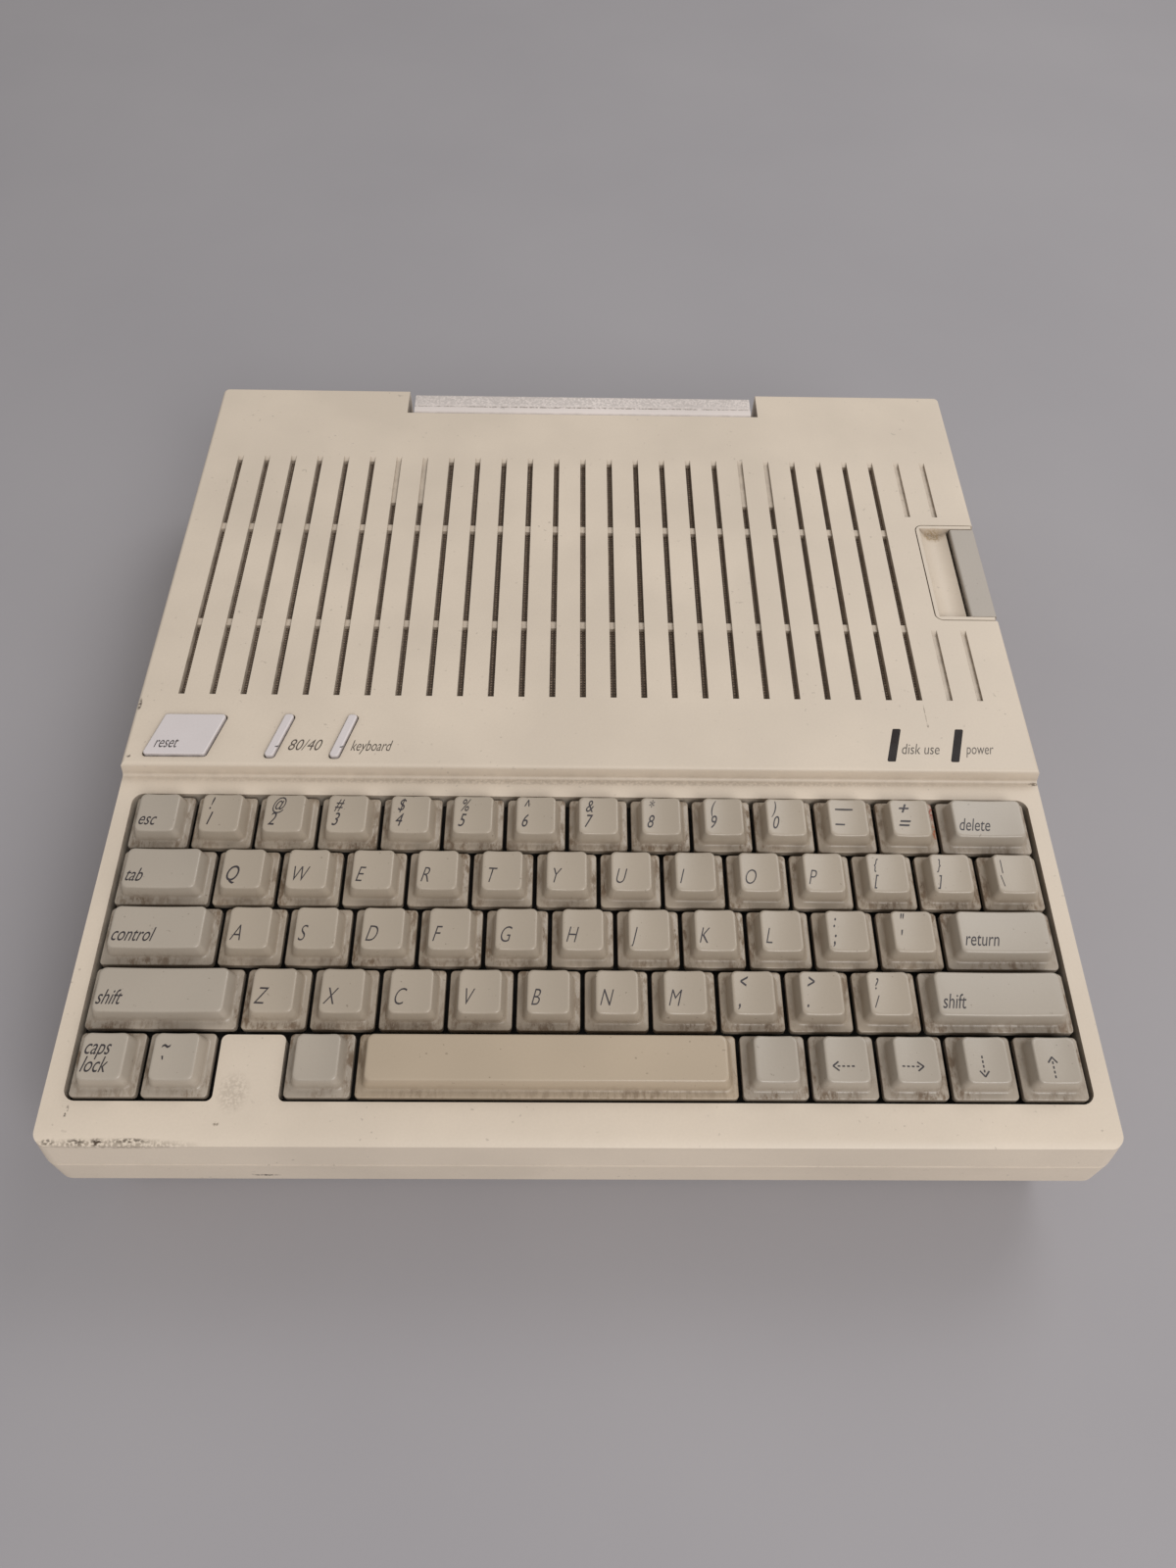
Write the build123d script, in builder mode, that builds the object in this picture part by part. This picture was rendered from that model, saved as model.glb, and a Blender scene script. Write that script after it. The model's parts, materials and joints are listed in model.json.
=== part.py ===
from build123d import *
from math import cos, radians, sin, tan
import os

os.makedirs("parts", exist_ok=True)

STAND = (Align.CENTER, Align.CENTER, Align.MIN)

# A portable home computer of the 1980s. Origin: middle of the footprint, on the
# surface that it stands on. +X is the user's right, +Y is the rear, +Z is up.
# All sizes are in millimetres.

# ---------------------------------------------------------------- driving sizes: case
CASE_WIDTH = 292.1
CASE_DEPTH = 304.8
CASE_HEIGHT = 63.5
WALL = 2.5
CORNER_RADIUS = 4.8
PARTING_Z = 39.5
SIDE_DRAFT = 6.5
EDGE_RADIUS = 1.2
NOSE_RADIUS = 4.0
NOSE_DROP = 8.0
BAND_BOTTOM_Z = 27.3
TAPER_SIDE = 6.5
TAPER_FRONT = 9.0
TAPER_REAR = 1.5
FOOT_HEIGHT = 3.0
FOOT_RADIUS = 8.0
FOOT_INSET = 26.0
PARTING_CHAMFER = 0.5
RUNNING = 0.05
SLIDE_GAP = 0.3
OVERSHOOT = 5.0

# ------------------------------------------------------------ driving sizes: keyboard
KEY_PITCH = 19.05
KEY_GAP = 1.25
KEY_ROWS = 5
FIELD_UNITS = 14.5
KEY_FIELD_INSET = 13.2
KEY_TILT = 2.67
KEY_TRAVEL = 3.5
KEY_SKIRT_DROP = 1.3
KEY_FLOOR_GAP = 0.6
KEY_LEDGE_HEIGHT = 0.7
KEY_BASE_HEIGHT = 1.1
KEY_TOP_HEIGHT = 6.15
KEY_WALL = 1.3
KEY_BASE_INSET = (1.75, 2.2, 1.4)
KEY_TOP_INSET = (3.15, 3.2, 1.95)
KEY_SKIRT_RADIUS = 1.2
KEY_TOP_RADIUS = 1.8
DISH_DEPTH = 0.5
STEM_WIDTH = 4.5
STEM_DEPTH = 3.5
STEM_REACH = 8.0
RIDGE_STEP = 5.2
KEY_PLANE_STEP = 6.2
RIDGE_GAP = 7.5
RIDGE_FOOT_RADIUS = 1.0
WELL_SIDE_GAP = 1.1
WELL_FRONT_GAP = 0.25
WELL_REAR_GAP = 0.6
WELL_RADIUS = 3.5
WELL_RIM = 1.8
PLATE_THICK = 1.2
HOUSING_SIZE = 13.0
HOUSING_TOP_SIZE = 9.0
HOUSING_FLANGE = 0.8
HOUSING_TOP_DROP = 2.2
HOUSING_BOTTOM_DROP = 12.0
BOARD_THICK = 1.6
BLANK_COLUMN = 2.0
TAB_MARGIN = 0.7
TAB_CORNER = 1.8

# --------------------------------------------------------------- driving sizes: vents
VENT_PITCH = 10.0
VENT_COLUMNS = 27
VENT_WIDTH = 2.0
VENT_REAR_INSET = 42.9
VENT_LENGTH = 117.5
VENT_GROOVE_DEPTH = 1.0
VENT_RAMP = 1.8
BRIDGE_WIDTH = 3.0
BRIDGE_STEPS = (38.0, 85.0)
BLIND_COLUMNS = (-7, -6, 6, 7)
BLIND_LENGTH = 24.7
GROOVE_COLUMNS = (12, 13)
GROOVE_REAR_LENGTH = 30.3
GROOVE_FRONT_LENGTH = 31.0
MESH_THICK = 0.6
MESH_MARGIN = 4.0

# --------------------------------------------------------- driving sizes: top controls
CONTROL_SKEW = 15.5
CONTROL_Y_FROM_RIDGE = 11.6
RESET_SIZE = (19.4, 15.9)
RESET_HOLE = (20.4, 16.7)
RESET_X = -125.4
SWITCH_SIZE = (3.0, 16.6)
SWITCH_X = (-95.8, -75.6)
BUTTON_RISE = 1.1
BUTTON_CORNER = 1.0
BUTTON_EDGE = 0.5
LAMP_SIZE = (2.7, 13.1)
LAMP_X = (98.9, 119.0)
LAMP_CORNER = 0.5
LAMP_STEP = 1.4
CONTROL_TRAVEL = 2.0
CONTROL_DEPTH = 5.0
SWITCH_BOARD_Z = 49.0
SWITCH_BODY_HEIGHT = 5.0
CONTROL_STEM = 3.0
LED_RADIUS = 2.4
LED_SOCKET_LENGTH = 8.0

# -------------------------------------------------------------- driving sizes: handle
HANDLE_WIDTH = 133.4
HANDLE_RECESS_WIDTH = 138.6
HANDLE_RECESS_DEPTH = 16.6
HANDLE_RECESS_FLOOR_Z = 45.0
GRIP_DEPTH = 12.0
GRIP_HEIGHT = 12.5
GRIP_FRONT_INSET = 16.2
GRIP_ROUND = 2.0
ARM_WIDTH = 6.0
ARM_DEPTH = 7.0
PIVOT_Z = 14.0
PIVOT_RADIUS = 3.0
PIVOT_PIN_LENGTH = 4.6
CHANNEL_WIDTH = 10.3
CHANNEL_DEPTH = 12.9
HANDLE_TOP_GAP = 0.1

# --------------------------------------------------------------- driving sizes: drive
DRIVE_REAR_INSET = 100.9
DRIVE_WIDTH = 146.0
DRIVE_RAIL = 3.0
DRIVE_BOTTOM_Z = 18.0
DRIVE_TOP_Z = 55.0
DECK_Z = 34.0
DECK_THICK = 3.0
DRIVE_RIGHT_INSET = 18.0
DECK_LENGTH = 161.0
SLOT_WIDTH = 137.0
SLOT_Z = 40.2
SLOT_HEIGHT = 5.0
SPINDLE_INSET = 76.0
HUB_RADIUS = 17.0
HUB_CUP_RADIUS = 14.3
HUB_CUP_FLOOR_RADIUS = 12.0
HUB_TOP_Z = 41.0
HUB_CUP_DEPTH = 4.0
ROTOR_RADIUS = 27.0
ROTOR_Z = 24.0
ROTOR_HEIGHT = 7.0
SPINDLE_RADIUS = 4.0
CLAMP_PIVOT_INSET = 174.0
CLAMP_ARM_Z = 48.5
CLAMP_ARM_THICK = 2.0
CLAMP_ARM_WIDTH = 30.0
CLAMP_PIN_RADIUS = 2.0
CONE_SHAFT_RADIUS = 3.0
ROD_RADIUS = 2.0
ROD_SPACING = 28.0
ROD_Z = 29.0
SCREW_RADIUS = 2.5
HEAD_TRAVEL = 18.5
HEAD_TRACK_ZERO = 57.2

# ----------------------------------------------------- driving sizes: lever and recess
RECESS_LENGTH = 47.4
RECESS_WIDTH = 24.5
INSERT_GAP = 0.4
INSERT_WALL = 1.4
INSERT_BOTTOM_Z = 45.4
INSERT_FLOOR_Z = 47.5
SCOOP_RIM = 1.2
SCOOP_LOW_Z = 60.2
SCOOP_END_Z = 61.6
LEVER_GAP = 0.4
LEVER_PIVOT_INSET = 10.15
LEVER_PIVOT_Z = 61.9
LEVER_PIN_RADIUS = 1.0
LEVER_HUB_GAP = 0.95
LEVER_INNER_INSET = 11.7
LEVER_BOTTOM_Z = 41.5
LEVER_BACK_Z = 52.0
LEVER_HEEL_Z = 48.0

# ----------------------------------------------------- driving sizes: boards and ports
MAIN_BOARD_Z = 9.5
BOARD_EDGE_GAP = 9.0
PORT_RECESS = 8.0
PORT_RECESS_WIDTH = 268.0
PORT_RECESS_LOW_Z = 8.5
PORT_RECESS_HIGH_Z = 34.0
PORT_Z = 20.0
POST_RADIUS = 3.5
POST_SPLIT_Z = 30.0
SCREW_SHAFT_RADIUS = 1.5
SCREW_HEAD_RADIUS = 2.8
SCREW_HEAD_HEIGHT = 1.6

# ------------------------------------------------------------------- worked-out places
right_x = CASE_WIDTH / 2
rear_y = CASE_DEPTH / 2
front_y = -rear_y
tilt = radians(KEY_TILT)
key_front_y = front_y + KEY_FIELD_INSET
field_width = FIELD_UNITS * KEY_PITCH
field_depth = KEY_ROWS * KEY_PITCH
well_width = field_width + 2 * WELL_SIDE_GAP
well_depth = field_depth + WELL_FRONT_GAP + WELL_REAR_GAP
well_middle = (field_width / 2, (field_depth + WELL_REAR_GAP - WELL_FRONT_GAP) / 2)
plate_drop = KEY_SKIRT_DROP + KEY_TRAVEL + KEY_FLOOR_GAP
ridge_y = key_front_y + field_depth * cos(tilt) + RIDGE_GAP
key_front_z = CASE_HEIGHT - KEY_PLANE_STEP - (ridge_y - key_front_y) * tan(tilt)
bezel_slope = (CASE_HEIGHT - RIDGE_STEP - key_front_z) / (ridge_y - key_front_y)
key_plane = Plane(
    origin=(-field_width / 2, key_front_y, key_front_z),
    x_dir=(1, 0, 0),
    z_dir=(0, -sin(tilt), cos(tilt)),
)
control_y = ridge_y + CONTROL_Y_FROM_RIDGE
lamp_y = control_y - LAMP_STEP
drive_y = rear_y - DRIVE_REAR_INSET
spindle_x = right_x - SPINDLE_INSET
pivot_y = rear_y - CHANNEL_DEPTH + ARM_DEPTH / 2 + 1.5
panel_y = rear_y - PORT_RECESS
panel_inner_y = panel_y - WALL
floor_z = FOOT_HEIGHT + WALL
board_top_z = MAIN_BOARD_Z + BOARD_THICK


def side_x(z):
    """Half-width of the drafted top case at height z."""
    return right_x - (z - PARTING_Z) * tan(radians(SIDE_DRAFT))


def bezel_z(y):
    """Height of the keyboard bezel's surface at depth y."""
    return key_front_z + (y - key_front_y) * bezel_slope


# Case screws: between keyboard and drive, and along the rear wall.
post_front_y = ridge_y + 7.5
post_places = [
    (-45.0, post_front_y),
    (40.0, post_front_y),
    (right_x - 11.0, post_front_y),
    (-right_x + 12.0, rear_y - 24.4),
    (-4.0, rear_y - 22.9),
    (right_x - 12.0, rear_y - 21.4),
]
drive_feet = [
    (right_x - DRIVE_RIGHT_INSET - 8.0, drive_y - DRIVE_WIDTH / 2 + 7.0),
    (right_x - DRIVE_RIGHT_INSET - 8.0, drive_y + DRIVE_WIDTH / 2 - 7.0),
    (right_x - DRIVE_RIGHT_INSET - 150.0, drive_y - DRIVE_WIDTH / 2 + 7.0),
    (right_x - DRIVE_RIGHT_INSET - 150.0, drive_y + DRIVE_WIDTH / 2 - 7.0),
]
board_bosses = [
    (-right_x + 14.0, 64.0),
    (-right_x + 106.0, 66.0),
    (-right_x + 30.0, -20.0),
    (right_x - 60.0, rear_y - 32.0),
]
foot_places = [
    (sx * (right_x - FOOT_INSET), sy * (rear_y - FOOT_INSET))
    for sx in (-1, 1)
    for sy in (-1, 1)
]


def slanted(size):
    """Corners of an upright slot that leans to the right, about its middle."""
    lean = size[1] / 2 * tan(radians(CONTROL_SKEW))
    half_width = size[0] / 2
    half_depth = size[1] / 2
    return [
        (-half_width - lean, -half_depth),
        (half_width - lean, -half_depth),
        (half_width + lean, half_depth),
        (-half_width + lean, half_depth),
    ]


def slanted_block(size, places, low, high, corner):
    """Slanted prisms of one size between two heights, at places along X."""
    with BuildPart() as block:
        with BuildSketch(Plane.XY.offset(low)) as outline:
            with Locations(*[(x, control_y) for x in places]):
                Polygon(*slanted(size), align=None)
            fillet(outline.vertices(), corner)
        extrude(amount=high - low)
    return block.part


def span_box(low, high):
    """Box between two corners."""
    size = [b - a for a, b in zip(low, high)]
    with BuildPart() as block:
        with Locations(tuple(low)):
            Box(*size, align=(Align.MIN, Align.MIN, Align.MIN))
    return block.part


# ========================================================================= top case
def top_form(inset):
    """The top case's outer form, or its hollow when it is inset by the wall."""
    step_y = ridge_y + inset
    top_z = CASE_HEIGHT - inset
    nose_y = front_y + inset
    drop = inset / cos(tilt)
    nose_top_y = nose_y + NOSE_DROP
    corner = max(CORNER_RADIUS - inset, (top_z - PARTING_Z) * tan(radians(SIDE_DRAFT)) + 0.5)
    with BuildPart() as form:
        with BuildSketch(Plane.XY.offset(PARTING_Z)):
            RectangleRounded(CASE_WIDTH - 2 * inset, CASE_DEPTH - 2 * inset, corner)
        extrude(amount=top_z - PARTING_Z, taper=SIDE_DRAFT)
        with BuildSketch(Plane.YZ) as cut:
            with BuildLine():
                start = (nose_y, bezel_z(nose_y) - drop - NOSE_RADIUS)
                crown = (nose_top_y, bezel_z(nose_top_y) - drop)
                foot = (step_y, bezel_z(step_y) - drop)
                Spline(start, crown, tangents=((0, 1), (1, bezel_slope)))
                Polyline(
                    crown,
                    foot,
                    (step_y + 0.6, top_z + OVERSHOOT),
                    (nose_y - OVERSHOOT, top_z + OVERSHOOT),
                    (nose_y - OVERSHOOT, start[1]),
                    start,
                )
            make_face()
            fillet(cut.vertices().sort_by_distance(foot)[0], RIDGE_FOOT_RADIUS)
        extrude(amount=CASE_WIDTH, both=True, mode=Mode.SUBTRACT)
    return form.part


def handle_recess(grow):
    """Space for the stowed grip and for its two arms, grown by a wall."""
    half_width = HANDLE_RECESS_WIDTH / 2 + grow
    with BuildPart() as recess:
        add(
            span_box(
                (-half_width, rear_y - HANDLE_RECESS_DEPTH - grow, HANDLE_RECESS_FLOOR_Z - grow),
                (half_width, rear_y + OVERSHOOT, CASE_HEIGHT + OVERSHOOT),
            )
        )
        add(arm_channels(grow))
    return recess.part


def arm_channels(grow):
    """Two upright channels for the handle's arms, open to the rear and below."""
    outer = HANDLE_RECESS_WIDTH / 2 + grow
    inner = HANDLE_RECESS_WIDTH / 2 - CHANNEL_WIDTH - grow
    with BuildPart() as channels:
        for side in (-1, 1):
            low_x, high_x = sorted((side * inner, side * outer))
            add(
                span_box(
                    (low_x, rear_y - CHANNEL_DEPTH - grow, -OVERSHOOT),
                    (high_x, rear_y + OVERSHOOT, HANDLE_RECESS_FLOOR_Z + OVERSHOOT),
                )
            )
    return channels.part


def key_well():
    """The opening that the keys stand in, less the blank tab of the front row."""
    with BuildPart() as well:
        with BuildSketch(key_plane.offset(-30)) as outline:
            with Locations(well_middle):
                RectangleRounded(well_width, well_depth, WELL_RADIUS)
            tab_x = (BLANK_COLUMN + 0.5) * KEY_PITCH
            with Locations((tab_x, KEY_PITCH - TAB_MARGIN)):
                Rectangle(
                    KEY_PITCH - 2 * TAB_MARGIN,
                    KEY_PITCH + OVERSHOOT,
                    align=(Align.CENTER, Align.MAX),
                    mode=Mode.SUBTRACT,
                )
            tab_corners = outline.vertices().sort_by_distance((tab_x, KEY_PITCH / 2))[:4]
            fillet(tab_corners, TAB_CORNER)
        extrude(amount=60)
    return well.part


def well_rim():
    """Wall around the key opening, down to the keyboard's plate."""
    with BuildPart() as rim:
        with BuildSketch(key_plane.offset(-plate_drop)):
            with Locations(well_middle):
                RectangleRounded(
                    well_width + 2 * WELL_RIM, well_depth + 2 * WELL_RIM, WELL_RADIUS + WELL_RIM
                )
        extrude(amount=plate_drop - WALL / 2)
    return rim.part


vent_rear_y = rear_y - VENT_REAR_INSET
vent_front_y = vent_rear_y - VENT_LENGTH
bridge_ys = [vent_rear_y - step for step in BRIDGE_STEPS]
recess_low_y = drive_y - RECESS_LENGTH / 2 - 0.2
recess_high_y = drive_y + RECESS_LENGTH / 2 - 0.2


def vent_runs(column):
    """Through-going stretches (front, rear) of one vent column."""
    if column in GROOVE_COLUMNS:
        return []
    rear_end = vent_rear_y - (BLIND_LENGTH if column in BLIND_COLUMNS else VENT_RAMP)
    stops = [rear_end]
    for y in bridge_ys:
        stops += [y + BRIDGE_WIDTH / 2, y - BRIDGE_WIDTH / 2]
    stops.append(vent_front_y)
    return [(low, high) for high, low in zip(stops[::2], stops[1::2])]


def groove_runs(column):
    """Shallow grooves (front, rear) that every vent column starts as."""
    if column in GROOVE_COLUMNS:
        return [
            (vent_rear_y - GROOVE_REAR_LENGTH, vent_rear_y),
            (vent_front_y, vent_front_y + GROOVE_FRONT_LENGTH),
        ]
    return [(vent_front_y, vent_rear_y)]


def vent_cutter():
    """All vents: shallow grooves with a ramp at the rear, and the slots in them."""
    columns = range(-(VENT_COLUMNS // 2), VENT_COLUMNS // 2 + 1)
    with BuildPart() as cutter:
        with BuildSketch(Plane.XY.offset(CASE_HEIGHT - 2 * WALL)):
            for column in columns:
                for low, high in vent_runs(column):
                    with Locations((column * VENT_PITCH, (low + high) / 2)):
                        Rectangle(VENT_WIDTH, high - low)
        extrude(amount=3 * WALL)
        for column in columns:
            for low, high in groove_runs(column):
                with BuildSketch(Plane.YZ.offset(column * VENT_PITCH)):
                    Polygon(
                        (low, CASE_HEIGHT - VENT_GROOVE_DEPTH),
                        (high - VENT_RAMP, CASE_HEIGHT - VENT_GROOVE_DEPTH),
                        (high, CASE_HEIGHT),
                        (high, CASE_HEIGHT + 1),
                        (low, CASE_HEIGHT + 1),
                        align=None,
                    )
                extrude(amount=VENT_WIDTH / 2, both=True)
    return cutter.part


def drive_cutter():
    """Recess in the top's right edge for the lever, and the disk's slot."""
    with BuildPart() as cutter:
        with BuildSketch(Plane.XY.offset(SLOT_Z + SLOT_HEIGHT)):
            with Locations((right_x - RECESS_WIDTH + 40, (recess_low_y + recess_high_y) / 2)):
                RectangleRounded(80, recess_high_y - recess_low_y, 3)
        extrude(amount=CASE_HEIGHT)
        add(
            span_box(
                (right_x - 10, drive_y - SLOT_WIDTH / 2, SLOT_Z),
                (right_x + OVERSHOOT, drive_y + SLOT_WIDTH / 2, SLOT_Z + SLOT_HEIGHT),
            )
        )
    return cutter.part


with BuildPart() as top_case:
    add(top_form(0))
    fillet(top_case.edges().group_by(Axis.Z)[-1], EDGE_RADIUS)
    chamfer(top_case.edges().group_by(Axis.Z)[0], PARTING_CHAMFER)
    add(top_form(WALL) - handle_recess(WALL), mode=Mode.SUBTRACT)
    add(well_rim())
    add(key_well(), mode=Mode.SUBTRACT)
    add(handle_recess(0), mode=Mode.SUBTRACT)
    add(vent_cutter(), mode=Mode.SUBTRACT)
    add(drive_cutter(), mode=Mode.SUBTRACT)
    for size, places, corner in [
        (RESET_HOLE, (RESET_X,), BUTTON_CORNER + 0.3),
        ((SWITCH_SIZE[0] + 0.8, SWITCH_SIZE[1] + 0.8), SWITCH_X, BUTTON_CORNER + 0.3),
    ]:
        add(
            slanted_block(size, places, CASE_HEIGHT - 9, CASE_HEIGHT + 1, corner),
            mode=Mode.SUBTRACT,
        )
    # Screw bosses, down to where the bottom case's posts end.
    with Locations(*[(x, y, POST_SPLIT_Z) for x, y in post_places]):
        Cylinder(POST_RADIUS, CASE_HEIGHT - WALL - POST_SPLIT_Z + 0.5, align=STAND)
    with Locations(*[(x, y, POST_SPLIT_Z) for x, y in post_places]):
        Cylinder(SCREW_SHAFT_RADIUS, 12, align=STAND, mode=Mode.SUBTRACT)
    # Two hangers for the small board under the top controls.
    hanger_top = CASE_HEIGHT - WALL / 2
    hanger_low = SWITCH_BOARD_Z + BOARD_THICK
    hanger_xs = (SWITCH_X[1] + 12, (RESET_X + SWITCH_X[0]) / 2 + 2.5)
    with Locations(*[(x, control_y, hanger_low) for x in hanger_xs]):
        Cylinder(2.5, hanger_top - hanger_low, align=STAND)
    # Sockets that hold the two lamps under their windows.
    with Locations(*[(x, lamp_y, CASE_HEIGHT - LED_SOCKET_LENGTH) for x in LAMP_X]):
        Cylinder(LED_RADIUS + 1.2, LED_SOCKET_LENGTH - WALL / 2, align=STAND)
    with Locations(*[(x, lamp_y, CASE_HEIGHT - LED_SOCKET_LENGTH) for x in LAMP_X]):
        Cylinder(LED_RADIUS, LED_SOCKET_LENGTH - 2, align=STAND, mode=Mode.SUBTRACT)
    with Locations((0, -LAMP_STEP)):
        add(
            slanted_block(LAMP_SIZE, LAMP_X, CASE_HEIGHT - WALL, CASE_HEIGHT + 1, LAMP_CORNER),
            mode=Mode.SUBTRACT,
        )
top_case.part.label = "top_case"
export_step(top_case.part, "parts/top_case.step")


# ====================================================================== bottom case
def bottom_form(inset, low_z):
    """The bottom case's outer form, or its hollow when it is inset."""
    share = (BAND_BOTTOM_Z - low_z) / (BAND_BOTTOM_Z - FOOT_HEIGHT)
    side = inset + TAPER_SIDE * share
    front = inset + TAPER_FRONT * share
    rear = inset + TAPER_REAR * share
    corner = max(CORNER_RADIUS - inset, 0.5)
    with BuildPart() as form:
        with BuildSketch(Plane.XY.offset(low_z)):
            with Locations((0, (front - rear) / 2)):
                RectangleRounded(CASE_WIDTH - 2 * side, CASE_DEPTH - front - rear, corner)
        with BuildSketch(Plane.XY.offset(BAND_BOTTOM_Z)):
            RectangleRounded(CASE_WIDTH - 2 * inset, CASE_DEPTH - 2 * inset, corner)
        loft(ruled=True)
        with BuildSketch(Plane.XY.offset(BAND_BOTTOM_Z)):
            RectangleRounded(CASE_WIDTH - 2 * inset, CASE_DEPTH - 2 * inset, corner)
        extrude(amount=PARTING_Z - BAND_BOTTOM_Z)
    return form.part


def bottom_hollow():
    """The hollow in the bottom case: clear of the port panel and arm channels."""
    with BuildPart() as hollow:
        add(bottom_form(WALL, floor_z))
        add(
            span_box((-CASE_WIDTH, panel_inner_y, 0), (CASE_WIDTH, rear_y + OVERSHOOT, CASE_HEIGHT)),
            mode=Mode.SUBTRACT,
        )
        add(arm_channels(WALL), mode=Mode.SUBTRACT)
        add(finger_block(WALL), mode=Mode.SUBTRACT)
    return hollow.part


def finger_block(grow):
    """Scoop in the right wall under the lever, for a fingertip; grown by a wall."""
    with BuildPart() as scoop:
        with Locations(Location((right_x + 3, drive_y, PARTING_Z), (90, 0, 0))):
            Cylinder(9 + grow, RECESS_LENGTH - 10 + 2 * grow)
        add(
            span_box((0, -CASE_DEPTH, PARTING_Z), (CASE_WIDTH, CASE_DEPTH, CASE_HEIGHT)),
            mode=Mode.SUBTRACT,
        )
    return scoop.part


# Ports along the rear, as (x, width of the shell, rows of pins).
d_ports = [(112.0, 17.0, (5, 4)), (37.0, 25.5, (8, 7)), (-27.0, 31.5, (10, 9))]
d_port_height = 9.0
din_ports = [83.0, -84.0, -105.0]
din_radius = 7.3
video_x = 7.0
video_radius = 4.15
power_x = -126.0
power_opening = (9.0, 15.0)
port_gap = 0.3

volume_y = front_y + 55.0
volume_radius = 12.0
volume_thick = 3.5
volume_z = 30.0
volume_x = -right_x + volume_radius + 0.3
phone_y = volume_y + 26.0
phone_z = 31.75
phone_nose_radius = 3.5
phone_bore_radius = 1.8
speaker_place = (-right_x + 56.0, front_y + 84.0)
speaker_radius = 28.5
converter_low = (10.0, front_y + 32.0)
converter_size = (96.0, 62.0, 22.0)
converter_stand = 4.0


def port_pocket():
    """Recess along the rear that the ports stand in, clear of the handle's ears."""
    with BuildPart() as pocket:
        add(
            span_box(
                (-PORT_RECESS_WIDTH / 2, panel_y, PORT_RECESS_LOW_Z),
                (PORT_RECESS_WIDTH / 2, rear_y + OVERSHOOT, PORT_RECESS_HIGH_Z),
            )
        )
        add(arm_channels(WALL), mode=Mode.SUBTRACT)
    return pocket.part


def port_openings():
    """Holes in the rear panel for every port."""
    with BuildPart() as holes:
        with BuildSketch(Plane.XZ.offset(-panel_y - 1)):
            for x, width, _ in d_ports:
                with Locations((x, PORT_Z)):
                    RectangleRounded(width + 2 * port_gap, d_port_height + 2 * port_gap, 2)
            for x in din_ports:
                with Locations((x, PORT_Z)):
                    Circle(din_radius + port_gap)
            with Locations((video_x, PORT_Z)):
                Circle(video_radius + port_gap)
            with Locations((power_x, PORT_Z)):
                Rectangle(power_opening[0] + 2 * port_gap, power_opening[1] + 2 * port_gap)
        extrude(amount=WALL + 2)
    return holes.part


def floor_cylinders(places, radius, low, high):
    """Upright round posts or holes of one size."""
    with BuildPart() as posts:
        with Locations(*[(x, y, low) for x, y in places]):
            Cylinder(radius, high - low, align=STAND)
    return posts.part


def floor_slots():
    """Slots in the floor: air inlets under the board, and the speaker's grille."""
    with BuildPart() as slots:
        with BuildSketch(Plane.XY.offset(FOOT_HEIGHT - 1)):
            with Locations((-20, 20)):
                with GridLocations(10, 0, 12, 1):
                    SlotOverall(40, 2.5, rotation=90)
            with Locations(speaker_place):
                with GridLocations(6, 0, 7, 1):
                    SlotOverall(30, 2.5, rotation=90)
        extrude(amount=WALL + 2)
    return slots.part


converter_posts = [
    (converter_low[0] + dx, converter_low[1] + dy)
    for dx in (8.0, converter_size[0] - 8.0)
    for dy in (8.0, converter_size[1] - 8.0)
]
support_z = volume_z - 8.0

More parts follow.
